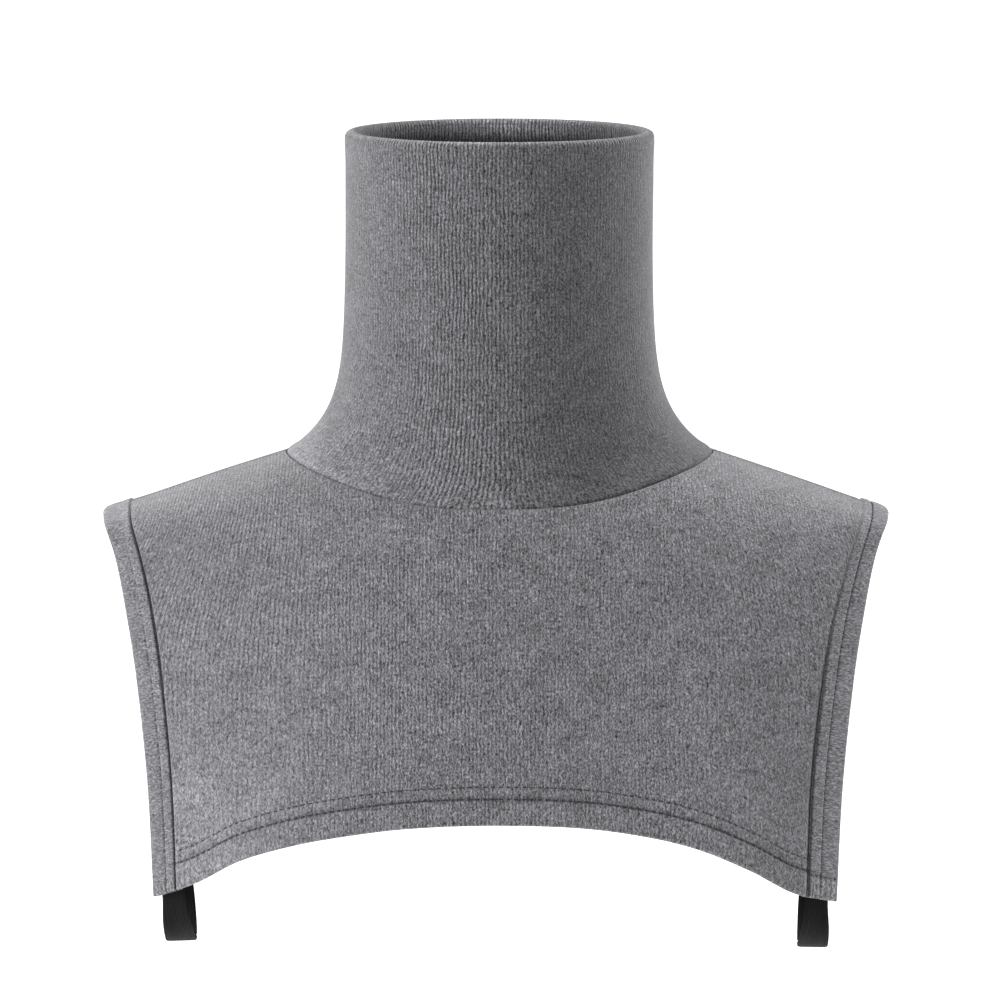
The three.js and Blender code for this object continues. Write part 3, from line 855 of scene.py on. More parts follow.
def collar_rings(settings):
    """Rings of the collar's cross-section, one for each column, with their knit coordinates."""
    collar = settings.collar
    turn = np.arange(COLLAR_COLUMNS) / COLLAR_COLUMNS
    fold = collar.rim_thickness / MM / 2
    shares, depth = collar_shares(turn, fold)
    point, normal, up = collar_frame(turn[:, None], shares)
    whole = depth[:, :1] + COLLAR_FOOT_ROWS[0]
    from_foot = whole - depth
    height = -0.65 * ridge(from_foot, 0.8) + 0.3 * ridge(from_foot - 3.2, 2.2)
    height = height + 0.35 * ridge(depth - 2, 5.0) + undulation(point[..., 0], point[..., 2], 0.25)
    outside = lifted(point, normal, height)
    tucked = outside[:, :1] - bib_normal_at_seam(turn)[:, None] * FOOT_TUCK
    outside = np.concatenate([tucked, outside], axis=1)
    puff = collar.rim_thickness / MM - COLLAR_THICKNESS
    wall = COLLAR_THICKNESS + puff * ridge(depth, collar.rim_depth / MM)

    def layer(rows, thickness):
        """A face inside the wall, from the fold down, with fewer rows than the outer face."""
        picked = np.linspace(depth.shape[1] - 1, 0, rows).round().astype(int)
        deeper = height[:, picked] - thickness[:, picked]
        return lifted(point[:, picked], normal[:, picked], deeper), depth[:, picked]

    def rolled(thickness, turns, reach, last):
        """The fold over the rim, from the outside to the inside."""
        angle = np.pi * np.arange(1, turns) / turns
        centre = lifted(point[:, -1:], normal[:, -1:], height[:, -1:] - last - thickness / 2)
        out = normal[:, -1:] * (np.cos(angle) * thickness / 2)[None, :, None]
        return centre + out + up[:, -1:] * (np.sin(angle) * reach)[None, :, None]

    inside, inside_depth = layer(INSIDE_ROWS, wall)
    hidden_in, _ = layer(HIDDEN_ROWS, wall - KNIT_THICKNESS)
    hidden_out, _ = layer(HIDDEN_ROWS, np.full_like(wall, KNIT_THICKNESS))
    rim = collar.rim_thickness / MM
    over = rolled(rim, RIM_TURNS, fold, 0)
    under = rolled(rim - 2 * KNIT_THICKNESS, HIDDEN_TURNS, fold - KNIT_THICKNESS, KNIT_THICKNESS)
    hidden = [hidden_in[:, ::-1], under[:, ::-1], hidden_out]
    rings = np.concatenate([outside, over, inside, *hidden], axis=1)

    pitch = settings.knit.course_pitch / MM
    over_length = np.pi * fold * np.arange(1, RIM_TURNS) / RIM_TURNS
    depth = np.concatenate([depth[:, :1] + FOOT_TUCK, depth], axis=1)
    from_foot = whole - depth
    length = np.concatenate(
        [
            -depth,
            np.broadcast_to(over_length, (COLLAR_COLUMNS, RIM_TURNS - 1)),
            np.pi * fold + inside_depth,
            np.broadcast_to(np.pi * fold, (COLLAR_COLUMNS, HIDDEN_POINTS)),
        ],
        axis=1,
    )
    looks = collar_looks(rings, from_foot, point[:, -1:], inside_depth)
    return rings, turn, length / pitch, looks


def girth_of(points):
    """Length round a closed ring of points."""
    return float(np.linalg.norm(points - np.roll(points, 1, axis=0), axis=1).sum())


def make_collar(settings):
    """The doubled collar, from its foot over the rim and down its inside."""
    rings, turn, courses, looks = collar_rings(settings)
    girth = girth_of(rings[:, len(COLLAR_FOOT_ROWS) + COLLAR_MIDDLE_ROWS])
    wales = round(girth / (settings.knit.wale_pitch / MM))
    around = np.concatenate([turn, [1.0]])[:, None] * wales
    courses = np.concatenate([courses, courses[:1]], axis=0)
    courses = np.concatenate([courses, courses[:, :1]], axis=1)
    uv = np.stack([np.broadcast_to(around, courses.shape), courses], axis=-1)
    count, across = rings.shape[:2]
    quads, places = grid_faces(count, across, True, True)
    knit = looks_of(settings, "collar_knit")
    piece = mesh_piece("collar_knit", rings.reshape(-1, 3), quads, uv.reshape(-1, 2)[places], knit, looks)
    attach(piece, "root")
    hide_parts("collar")
    return piece


def bib_grid(settings, side):
    """The u and row of each point of a panel's mesh, and its lengths from the top and the hem."""
    spots = np.linspace(-1, 1, BIB_MIDDLE_COLUMNS + 2)[1:-1, None]
    past = np.array(EDGE_COLUMNS)[:, None]
    count = 2 * (len(past) + 1) + len(spots)
    rows = rows_at(side, np.linspace(-1, 1, count), TOP_ROWS, HEM_ROWS)
    for _ in range(GRID_PASSES):
        wings = []
        for wing, row in ((-1.0, rows[:1]), (1.0, rows[-1:])):
            point, _, per_u = bib_frame(side, np.full_like(row, wing), row)
            lengths = band_width(settings, wing, point[..., 2]) + past
            wings.append(wing * (1 - np.concatenate([np.zeros_like(row), lengths / per_u])))
        right, left = wings
        middle = (left[-1] + right[-1]) / 2 + spots * (left[-1] - right[-1]) / 2
        u = np.concatenate([right, middle, left[::-1]])
        rows = rows_at(side, u[:, u.shape[1] // 2], TOP_ROWS, HEM_ROWS)
    length = running_length(bib_frame(side, u, rows)[0])
    down = length + TOP_ROWS[0]
    up = length[:, -1:] - length + HEM_ROWS[-1]
    return u, rows, down, up


def bib_looks(rings, up, shade):
    """Painted shade and light, rib clearness and contrast at each point of a panel's rings."""
    x, z = rings[..., 0], rings[..., 2]
    from_hem = np.concatenate([up, up[:, ::-1]], axis=1)
    ribs = 0.75 - 0.35 * rise(x, 60, 60) - 0.2 * rise(-z, 90, 50)
    ribs = ribs + rise(-x, 60, 40) * (0.22 - 0.35 * rise(-z, 80, 40))
    ribs = ribs + 0.25 * rise(-from_hem, -14, 3) * rise(-np.abs(x), -110, 50)
    contrast = 1.0 - 0.2 * rise(-x, 30, 60) - 0.08 * rise(x, 40, 60)
    contrast = contrast - 0.06 * rise(np.abs(x), 60, 40) * rise(-z, 110, 40)
    shade = np.concatenate([shade, np.ones_like(shade)], axis=1)
    return {"shade": shade, "ribs": ribs, "contrast": contrast}


def make_panel(settings, side, name):
    """A bib panel: outer face, rolled hem, and inner face with the hem's turned-up layer."""
    u, rows, down, up = bib_grid(settings, side)
    point, normal, past_band, height, shade = bib_surface(settings, side, u, rows, down, up)
    folded = rise(past_band, 0.6, 0.9)
    turned_up = ease((HEM_HEIGHT + 0.9 - up) / 1.1)
    thickness = KNIT_THICKNESS * (1 + folded * turned_up)
    radius = thickness / 2
    roll = radius - np.sqrt(np.maximum(radius**2 - np.maximum(radius - up, 0) ** 2, 0))
    outer = lifted(point, normal, height - roll)
    inner = lifted(point, normal, height - thickness + roll)
    rings = np.concatenate([outer, inner[:, ::-1]], axis=1)

    wales = wale_place(side, point) / (settings.knit.wale_pitch / MM)
    middle = np.argmin(np.abs(point[..., 2] + LEVEL_COURSE_DROP), axis=1)
    level = np.take_along_axis(down, middle[:, None], axis=1)
    courses = (down - level) / (settings.knit.course_pitch / MM)
    wales = np.concatenate([wales, wales[:, ::-1], wales[:, :1]], axis=1)
    courses = np.concatenate([courses, 2 * courses[:, -1:] - courses[:, ::-1], courses[:, :1]], axis=1)
    uv = np.stack([wales, courses], axis=-1)
    # The panel's shade holds painted shade in its dips and the broad painted light and shade over it.
    looks = bib_looks(rings, up, shade * bib_painted_light(point))
    piece = swept_piece(name, rings, uv, looks_of(settings, "heather_knit"), looks)
    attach(piece, "root")
    return piece


def stitch_tree():
    """A node tree that lays a stitch at every step along a line."""
    found = bpy.data.node_groups.get("Stitch Line")
    if found:
        return found
    tree = bpy.data.node_groups.new("Stitch Line", "GeometryNodeTree")
    sockets = [
        ("Line", "NodeSocketGeometry", None),
        ("Pitch", "NodeSocketFloat", 0.003),
        ("Stitch Length", "NodeSocketFloat", 0.002),
        ("Thread Width", "NodeSocketFloat", 0.0006),
        ("Unevenness", "NodeSocketFloat", 0.12),
        ("Seed", "NodeSocketInt", 4),
        ("Material", "NodeSocketMaterial", None),
    ]
    for name, kind, default in sockets:
        socket = tree.interface.new_socket(name=name, in_out="INPUT", socket_type=kind)
        if default is not None:
            socket.default_value = default
    tree.interface.new_socket(name="Stitches", in_out="OUTPUT", socket_type="NodeSocketGeometry")

    def node(kind, inputs=(), **values):
        made = tree.nodes.new(kind)
        for key, value in values.items():
            setattr(made, key, value)
        for key, value in dict(inputs).items():
            if isinstance(value, bpy.types.NodeSocket):
                tree.links.new(value, made.inputs[key])
            else:
                made.inputs[key].default_value = value
        return made

    given = node("NodeGroupInput").outputs
    line = node("GeometryNodeMeshToCurve", {"Mesh": given["Line"]})
    steps = node(
        "GeometryNodeResampleCurve", {"Curve": line.outputs[0], "Length": given["Pitch"]}, mode="LENGTH"
    )
    ball = node("GeometryNodeMeshUVSphere", {"Segments": 8, "Rings": 6, "Radius": 0.5})
    size = node(
        "ShaderNodeCombineXYZ",
        {"X": given["Stitch Length"], "Y": given["Thread Width"], "Z": given["Thread Width"]},
    )
    stitch = node("GeometryNodeTransform", {"Geometry": ball.outputs[0], "Scale": size.outputs[0]})
    lift = node("GeometryNodeInputNamedAttribute", {"Name": "lift"}, data_type="FLOAT_VECTOR")
    tangent = node("GeometryNodeInputTangent")
    ahead = node("FunctionNodeAlignRotationToVector", {"Vector": tangent.outputs[0]}, axis="X")
    upright = node(
        "FunctionNodeAlignRotationToVector",
        {"Rotation": ahead.outputs[0], "Vector": lift.outputs[0]},
        axis="Z",
        pivot_axis="X",
    )
    lowest = node("ShaderNodeMath", {0: 1.0, 1: given["Unevenness"]}, operation="SUBTRACT")
    highest = node("ShaderNodeMath", {0: 1.0, 1: given["Unevenness"]}, operation="ADD")
    uneven = node(
        "FunctionNodeRandomValue",
        {"Min": lowest.outputs[0], "Max": highest.outputs[0], "Seed": given["Seed"]},
        data_type="FLOAT",
    )
    random_value = next(output for output in uneven.outputs if output.enabled)
    placed = node(
        "GeometryNodeInstanceOnPoints",
        {"Points": steps.outputs[0], "Instance": stitch.outputs[0], "Rotation": upright.outputs[0]},
    )
    tree.links.new(random_value, placed.inputs["Scale"])
    real = node("GeometryNodeRealizeInstances", {"Geometry": placed.outputs[0]})
    smooth = node("GeometryNodeSetShadeSmooth", {"Geometry": real.outputs[0]})
    finished = node(
        "GeometryNodeSetMaterial", {"Geometry": smooth.outputs[0], "Material": given["Material"]}
    )
    node("NodeGroupOutput", {"Stitches": finished.outputs[0]})
    return tree


def stitch_line(settings, points, lifts, values):
    """The mesh of the stitches along one line of points, with the cloth's normals as their lift."""
    tree = stitch_tree()
    mesh = bpy.data.meshes.new("line")
    edges = [(i, i + 1) for i in range(len(points) - 1)]
    mesh.from_pydata((points * MM).tolist(), edges, [])
    attribute = mesh.attributes.new("lift", "FLOAT_VECTOR", "POINT")
    attribute.data.foreach_set("vector", lifts.reshape(-1).astype(np.float32))
    line = bpy.data.objects.new("line", mesh)
    bpy.context.scene.collection.objects.link(line)
    modifier = line.modifiers.new("Stitch Line", "NODES")
    modifier.node_group = tree
    identifiers = {item.name: item.identifier for item in tree.interface.items_tree}
    chosen = {"Material": looks_of(settings, "sewing_thread"), **values}
    for name, value in chosen.items():
        modifier[identifiers[name]] = value
    made = bpy.data.meshes.new_from_object(line.evaluated_get(bpy.context.evaluated_depsgraph_get()))
    bpy.data.objects.remove(line)
    return made


def stitches_piece(settings, name, lines):
    """Makes one piece of the stitches of several lines."""
    parts = [stitch_line(settings, *line) for line in lines]
    objects = [bpy.data.objects.new(name, mesh) for mesh in parts]
    for made in objects:
        bpy.context.scene.collection.objects.link(made)
    with bpy.context.temp_override(active_object=objects[0], selected_editable_objects=objects):
        bpy.ops.object.join()
    piece = objects[0]
    piece.name = name
    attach(piece, "root")


def hem_line(settings, side, above):
    """Points and normals along a hem at a length above its edge."""
    u = np.linspace(-1, 1, HEM_LINE_STEPS) * (1 - HEM_LINE_INSET / CLOTH_TIP)
    samples, lengths = column_lengths(side, u)
    rows = np.array([np.interp(column[-1] - above, column, samples) for column in lengths])
    far_down = np.full_like(u, FAR_DOWN)
    point, normal, _, height, _ = bib_surface(settings, side, u, rows, far_down, np.full_like(u, above))
    return lifted(point, normal, height + HEM_STITCH_LIFT), normal


def make_hem_stitches(settings, side, name):
    """The needle line of a hem and the fainter line above it."""
    hem = settings.hem
    values = {
        "Pitch": hem.stitch_pitch,
        "Stitch Length": hem.stitch_pitch * HEM_STITCH_SHARE,
        "Thread Width": hem.thread_width,
    }
    faint = {**values, "Thread Width": hem.thread_width * UPPER_THREAD_SHARE, "Seed": UPPER_SEED}
    needle = hem_line(settings, side, hem.needle_line / MM)
    upper = hem_line(settings, side, hem.upper_line / MM)
    stitches_piece(settings, name, [(*needle, values), (*upper, faint)])


def binding_path(settings, wing):
    """Sides, rows, widths and end lengths of the binding's run from front corner to back corner."""
    path = []
    for side in (FRONT, BACK):
        samples, lengths = column_lengths(side, np.array([float(wing)]))
        whole = lengths[0, -1]
        near_tip = BINDING_TIP_LENGTH * ease(np.linspace(0, 1, BINDING_TIP_ROWS))
        ends = whole - np.array(BINDING_END_ROWS)
        count = BINDING_STEPS - len(near_tip) - len(ends)
        middle = np.linspace(near_tip[-1], ends[0], count + 2)[1:-1]
        wanted = np.concatenate([near_tip, middle, ends])
        rows = np.interp(wanted, lengths[0], samples)
        heights = bib_point(side, float(wing), rows ** row_power(wing))[:, 2]
        path.append((side, rows, band_width(settings, wing, heights), whole - wanted))
    return path


def binding_point(side, wing, row, inward, height):
    """A point so far in from the armhole edge and above the cloth, with its normal."""
    per_u = bib_frame(side, float(wing), row)[2]
    point, normal, _ = bib_frame(side, wing * (1 - inward / per_u), row)
    return lifted(point, normal, height - BINDING_SINK), normal


def binding_section(settings, wing, width, end, from_tip):
    """The binding's outline at one place: spots inward, heights and shades, outer face first."""
    stitch = width * settings.binding.topstitch
    drawn = 1.0 if wing > 0 else 0.1 + 0.6 * rise(from_tip, 15, 130)
    ditch = ditch_strength(wing, from_tip)
    tack = end - tack_height(settings, wing)
    top = BINDING_FOLD
    low = -KNIT_THICKNESS
    face = np.linspace(width - 2.9, 0.6, BINDING_FACE_SPOTS)
    inward = np.concatenate([width - np.array(BINDING_EDGE_SPOTS), face])
    outer = top + (0.1 + 0.2 * drawn) * ridge(inward - stitch / 2, stitch / 2.2)
    outer = outer + (0.1 + 0.15 * drawn) * ridge(inward - (width + stitch) / 2, (width - stitch) / 2.6)
    outer = outer - 0.62 * drawn * ridge(inward - stitch, 0.5)
    edge = np.clip((width - inward) / 0.4, 0, 1)
    outer = outer - (top + 0.5) * (0.6 + 0.4 * ditch) * (1 - np.sqrt(1 - (1 - edge) ** 2))
    outer = outer - 0.45 * (wing > 0) * ridge(tack, 0.5) - 0.7 * ridge(end, 0.5)
    shade = 1 - 0.75 * ditch * ridge(inward - width, 0.17) - 0.42 * drawn * ridge(inward - stitch, 0.42)
    shade = shade - 0.08 * (wing < 0) * ease((stitch - inward) / 2)
    shade = shade - 0.3 * (wing > 0) * ridge(tack, 0.45)

    angle = np.linspace(0, np.pi, BINDING_FOLD_TURNS + 1)[1:-1]
    fold_in = -(BINDING_FOLD + 0.8 * ridge(from_tip, 9)) * np.sin(angle)
    fold_up = low / 2 + (top - low / 2) * np.cos(angle)
    under = np.linspace(0.6, width, BINDING_UNDER_SPOTS)
    inner = np.linspace(width, 0.5, BINDING_INNER_SPOTS)
    inner_angle = angle[1::3]
    inner_fold = -LAYER_GAP * np.sin(inner_angle[::-1])
    spots = np.concatenate([inward, fold_in, under, inner, inner_fold, inner[::-1]])
    heights = np.concatenate(
        [
            outer,
            fold_up,
            np.full_like(under, low - top),
            np.full_like(inner, low - LAYER_GAP),
            low / 2 + (low / 2 - LAYER_GAP) * np.cos(inner_angle),
            np.full_like(inner, LAYER_GAP),
        ]
    )
    return spots, heights, np.concatenate([shade, np.ones(len(heights) - len(shade))])


def tack_height(settings, wing):
    """Height of a binding's tack above its end, in millimetres."""
    binding = settings.binding
    return (binding.tack_left if wing > 0 else binding.tack_right) / MM


def make_binding(settings, wing, name):
    """The binding strip, folded round the armhole edge from the front corner to the back one."""
    parts = []
    for side, rows, widths, end in binding_path(settings, wing):
        sections = [binding_section(settings, wing, w, e, end[0] - e) for w, e in zip(widths, end)]
        inward, height, shade = (np.array(part) for part in zip(*sections))
        point, _ = binding_point(side, wing, np.broadcast_to(rows[:, None], inward.shape), inward, height)
        order = slice(None, None, -1) if side is FRONT else slice(1, None)
        parts.append((point[order], end[order], shade[order]))
    rings, ends, shade = (np.concatenate(part) for part in zip(*parts))
    along = running_length(rings[:, BINDING_LENGTH_SPOT])[:, None]
    at_tip = rings[BINDING_STEPS]
    around = running_length(np.concatenate([at_tip, at_tip[:1]]))[None, :]
    shape = (len(rings), rings.shape[1] + 1)
    pitch = settings.knit.wale_pitch / MM
    course = settings.knit.course_pitch / MM
    turned = (ends < tack_height(settings, wing))[:, None]
    across_wales = np.where(turned, around, along) / pitch
    along_wales = np.where(turned, along, around) / course
    uv = np.stack([np.broadcast_to(across_wales, shape), np.broadcast_to(along_wales, shape)], axis=-1)
    plain = np.ones_like(shade)
    ribs = np.where(turned, TURNED_RIBS, 1.0) * plain
    looks = {"shade": shade, "ribs": ribs, "contrast": BINDING_CONTRAST * plain}
    piece = swept_piece(name, rings, uv, looks_of(settings, "cross_cut_knit"), looks)
    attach(piece, "root")
    return piece


def make_binding_stitches(settings, wing, name):
    """The topstitch along the binding and, on the left, the tack across each end."""
    binding = settings.binding
    values = {
        "Pitch": binding.stitch_pitch,
        "Stitch Length": binding.stitch_pitch * TOPSTITCH_SHARE,
        "Thread Width": settings.hem.thread_width * TOPSTITCH_THREAD_SHARE,
    }
    tack = tack_height(settings, wing)
    points, lifts, lines = [], [], []
    for side, rows, widths, end in binding_path(settings, wing):
        keep = (end > tack) & (end[0] - end > binding.stitch_start / MM * (wing < 0))
        spots = widths[keep] * binding.topstitch
        point, normal = binding_point(side, wing, rows[keep], spots, BINDING_FOLD - TOPSTITCH_SINK)
        order = slice(None, None, -1) if side is FRONT else slice(None)
        points.append(point[order])
        lifts.append(normal[order])
        if wing > 0:
            across = np.linspace(1.0, widths[-1] - 1.0, TACK_SPOTS)
            row = np.full(TACK_SPOTS, np.interp(-tack, -end, rows))
            tack_point, tack_normal = binding_point(side, wing, row, across, BINDING_FOLD - TACK_SINK)
            lines.append((tack_point, tack_normal, {**values, "Seed": TACK_SEED}))
    for line in zip(points, lifts):
        lines.append((*line, values))
    stitches_piece(settings, name, lines)


def elastic_stops(settings, wing):
    """Centres and widthwise directions of the elastic's path."""
    elastic = settings.elastic
    width = elastic.width / MM
    outward = elastic.overhang / MM
    layers = KNIT_THICKNESS + BINDING_THICKNESS + 2 * LAYER_GAP + SEAM_GAP
    height = -layers - elastic.thickness / MM / 2

    def sewn(side):
        """Centres and widthwise directions of an end that is sewn on, down to the corner."""
        samples, lengths = column_lengths(side, np.array([float(wing)]))
        down = lengths[0, -1] - np.linspace(ELASTIC_SEWN_LENGTH, 0, SEWN_STEPS)
        rows = np.interp(down, lengths[0], samples)
        near, far = ELASTIC_EDGE - outward, ELASTIC_EDGE + width - outward
        inner, _ = binding_point(side, wing, rows, np.full(SEWN_STEPS, far), height)
        outer, _ = binding_point(side, wing, rows, np.full(SEWN_STEPS, near), height)
        return (inner + outer) / 2, unit((outer - inner) * wing)

    front, front_across = sewn(FRONT)
    back, back_across = sewn(BACK)
    reach = ELASTIC_LOOP_DEPTH / BEZIER_SHARE
    inset = np.array([-wing * (ELASTIC_LOOP_INSET + (elastic.lean_right / MM if wing < 0 else 0)), 0, 0])
    knots = [
        front[-1],
        front[-1] + unit(front[-1] - front[-2]) * reach + inset,
        back[-1] + unit(back[-1] - back[-2]) * reach + inset,
        back[-1],
    ]
    share = np.linspace(0, 1, LOOP_STEPS)[1:-1, None]
    weights = [(1 - share) ** 3, 3 * share * (1 - share) ** 2, 3 * share**2 * (1 - share), share**3]
    loop = sum(weight * knot for weight, knot in zip(weights, knots))
    level = np.array([1.0, 0, 0])
    turned = ease(1 - np.abs(2 * share - 1))
    ends = np.where(share < 0.5, front_across[-1], back_across[-1])
    across = ends * (1 - turned) + level * turned
    centres = np.concatenate([front, loop, back[::-1]])
    return centres, np.concatenate([front_across, across, back_across[::-1]])


def make_elastic(settings, wing, name):
    """A woven elastic strap with lengthwise cords."""
    elastic = settings.elastic
    points, across = elastic_stops(settings, wing)
    along = unit(np.gradient(points, axis=0))
    across = unit(across - along * (across * along).sum(axis=1, keepdims=True))
    face = np.cross(across, along)
    cords = elastic.cords
    spread = np.linspace(-1, 1, cords * SPOTS_PER_CORD + 1)
    half = elastic.width / MM / 2
    thick = elastic.thickness / MM / 2
    edge = np.sqrt(np.clip(1 - np.abs(spread) ** 8, 0, 1))
    between_cords = 0.5 - 0.5 * np.cos(np.pi * (spread + 1) * cords)
    swell = thick * (0.25 + 0.75 * edge) - CORD_DEPTH * between_cords
    side_in = np.concatenate([spread, spread[::-1]]) * half
    side_up = np.concatenate([swell, -swell])
    length = running_length(points)[:, None]
    bottom = length[np.argmin(points[:, 2])]
    narrow = 1 - PINCH * ridge(length - bottom, PINCH_LENGTH)
    sideways = across[:, None] * (side_in * narrow)[..., None]
    rings = points[:, None] + sideways + face[:, None] * side_up[:, None]
    over = np.concatenate([side_in, side_in[:1]])[None, :]
    shape = (len(points), rings.shape[1] + 1)
    u = (over + half) * cords / (2 * half)
    uv = np.stack([np.broadcast_to(u, shape), np.broadcast_to(length / WEAVE_PITCH, shape)], axis=-1)
    piece = swept_piece(name, rings, uv, looks_of(settings, "black_elastic"))
    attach(piece, "root")
    return piece


def area_light(name, place, size, power):
    """A soft light that faces the origin."""
    light = bpy.data.lights.new(name, "AREA")
    light.shape = "RECTANGLE"
    light.size, light.size_y = size
    light.energy = power
    lamp = bpy.data.objects.new(name, light)
    lamp.location = place
    lamp.rotation_euler = (-Vector(place)).to_track_quat("-Z", "Y").to_euler()
    lamp.visible_camera = False
    bpy.context.scene.collection.objects.link(lamp)


def studio_world(stage):
    """Light from all round, brighter behind than in front."""
    world = bpy.data.worlds.new("studio")
    world.use_nodes = True
    tree = world.node_tree
    direction = tree.nodes.new("ShaderNodeTexCoord")
    split = tree.nodes.new("ShaderNodeSeparateXYZ")
    tree.links.new(direction.outputs["Generated"], split.inputs[0])
    fade = tree.nodes.new("ShaderNodeMapRange")
    fade.interpolation_type = "SMOOTHSTEP"
    fade.inputs["From Min"].default_value = stage.fade_from
    fade.inputs["From Max"].default_value = stage.fade_to
    fade.inputs["To Min"].default_value = stage.front_light
    fade.inputs["To Max"].default_value = stage.back_light
    lean = tree.nodes.new("ShaderNodeMath")
    lean.operation = "MULTIPLY_ADD"
    lean.inputs[1].default_value = -stage.lean
    tree.links.new(split.outputs[0], lean.inputs[0])
    tree.links.new(split.outputs[1], lean.inputs[2])
    tree.links.new(lean.outputs[0], fade.inputs["Value"])
    background = tree.nodes["Background"]
    tree.links.new(fade.outputs[0], background.inputs["Strength"])
    background.inputs["Color"].default_value = (1.0, 1.0, 1.0, 1.0)
    bpy.context.scene.world = world


def make_stage(settings):
    """Pale floor, soft lights and the camera."""
    stage = settings.stage
    half = stage.floor_size / 2
    corners = [(-half, -half), (half, -half), (half, half), (-half, half)]
    mesh = bpy.data.meshes.new("floor")
    mesh.from_pydata([(x, y, -stage.floor_drop) for x, y in corners], [], [(0, 1, 2, 3)])
    mesh.materials.append(looks_of(settings, "studio_white"))
    floor = bpy.data.objects.new("floor", mesh)
    bpy.context.scene.collection.objects.link(floor)
    studio_world(stage)
    for name, place, size, power in LIGHTS:
        area_light(name, place, size, getattr(stage, power))

    view = bpy.data.cameras.new("camera")
    view.sensor_width = 36
    view.lens = view.sensor_width / 2 / math.tan(math.radians(stage.half_view))
    view.clip_end = 100
    camera = bpy.data.objects.new("camera", view)
    aim = Vector(stage.aim)
    rise = math.radians(stage.elevation)
    away = Vector((0, -math.cos(rise), math.sin(rise)))
    camera.location = aim + away * stage.distance
    camera.rotation_euler = (-away).to_track_quat("-Z", "Y").to_euler()
    bpy.context.scene.collection.objects.link(camera)
    bpy.context.scene.camera = camera
    bpy.context.scene.view_settings.view_transform = "Standard"


def size_of(name, description, default):
    """A length that a user can change, in metres."""
    return bpy.props.FloatProperty(name=name, description=description, default=default, unit="LENGTH")


def share_of(name, description, default):
    """A plain number that a user can change."""
    return bpy.props.FloatProperty(name=name, description=description, default=default)


def colour_of(name, description, default):
    """A colour that a user can change."""
    return bpy.props.FloatVectorProperty(
        name=name, description=description, default=default, subtype="COLOR", size=3, min=0, max=1
    )


class KnitSettings(bpy.types.PropertyGroup):
    colour: colour_of("Colour", "Mean colour of the heather grey knit", (0.205, 0.202, 0.216))
    wale_pitch: size_of("Wale pitch", "Width of one upright rib", 0.0016)
    course_pitch: size_of("Course pitch", "Height of one row of stitches", 0.0013)
    rib_height: size_of("Rib height", "How far the ribs stand out", 0.00022)
    rib: share_of("Rib shade", "How strongly the ribs show", 0.5)
    cross_rib: share_of("Binding rib shade", "How strongly the ribs show on the bindings", 0.1)
    # The collar's lower brightness is painted shade, standing in for dimmer light on it.
    collar_painted_shade: share_of("Collar tone", "Brightness of the collar beside the bib", 0.705)
    fleck: share_of("Flecks", "Contrast of the heather flecks", 1.0)
    specks: share_of("Specks", "Brightness of the pale specks", 0.38)
    sheen: share_of("Nap", "Strength of the brushed nap", 0.35)


class CollarSettings(bpy.types.PropertyGroup):
    rim_thickness: size_of("Rim thickness", "Thickness of the soft fold at the rim", 0.0054)
    rim_depth: size_of("Rim depth", "How far down the fold stays thick", 0.008)


class HemSettings(bpy.types.PropertyGroup):
    needle_line: size_of("Needle line", "Height of the main line of stitches above the edge", 0.011)
    upper_line: size_of("Upper line", "Height of the faint line above the edge", 0.016)
    puff: size_of("Puff", "How far the doubled hem stands out", 0.0004)
    stitch_pitch: size_of("Stitch pitch", "Length from stitch to stitch", 0.0032)
    thread_width: size_of("Thread width", "Width of a thread", 0.00075)
    # The thread's dark colour is painted shade for the dents that the stitches sink into.
    thread: colour_of("Thread", "Colour of the thread", (0.055, 0.055, 0.062))


class BindingSettings(bpy.types.PropertyGroup):
    width_right: size_of("Right width", "Width of the binding on the wearer's right", 0.0127)
    width_left: size_of("Left width", "Width of the binding on the wearer's left", 0.0141)
    narrowing_right: size_of("Right narrowing", "Width the right binding loses at the shoulder", 0.0022)
    narrowing_left: size_of("Left narrowing", "Width the left binding loses at the shoulder", 0.0043)
    widening: size_of("Widening", "Width that the left binding gains towards its ends", 0.002)
    topstitch: share_of("Topstitch", "Share of the width from the folded edge to the topstitch", 0.6)
    tack_right: size_of("Right tack", "Height of the right binding's turned end", 0.0045)
    tack_left: size_of("Left tack", "Height of the left binding's turned end", 0.0094)
    stitch_start: size_of("Stitch start", "Length from the shoulder to the right topstitch", 0.03)
    stitch_pitch: size_of("Stitch pitch", "Length from stitch to stitch", 0.0026)


class ElasticSettings(bpy.types.PropertyGroup):
    colour: colour_of("Colour", "Colour of the elastic", (0.0062, 0.0062, 0.0066))
    width: size_of("Width", "Width of the elastic", 0.0128)
    overhang: size_of("Overhang", "How far the elastic lies towards the armhole", 0.0011)
    lean_right: size_of("Right lean", "How far the right loop leans inward", 0.0022)
    thickness: size_of("Thickness", "Thickness of the elastic", 0.0012)
    cords: bpy.props.IntProperty(name="Cords", description="Cords across the elastic", default=10, min=2)


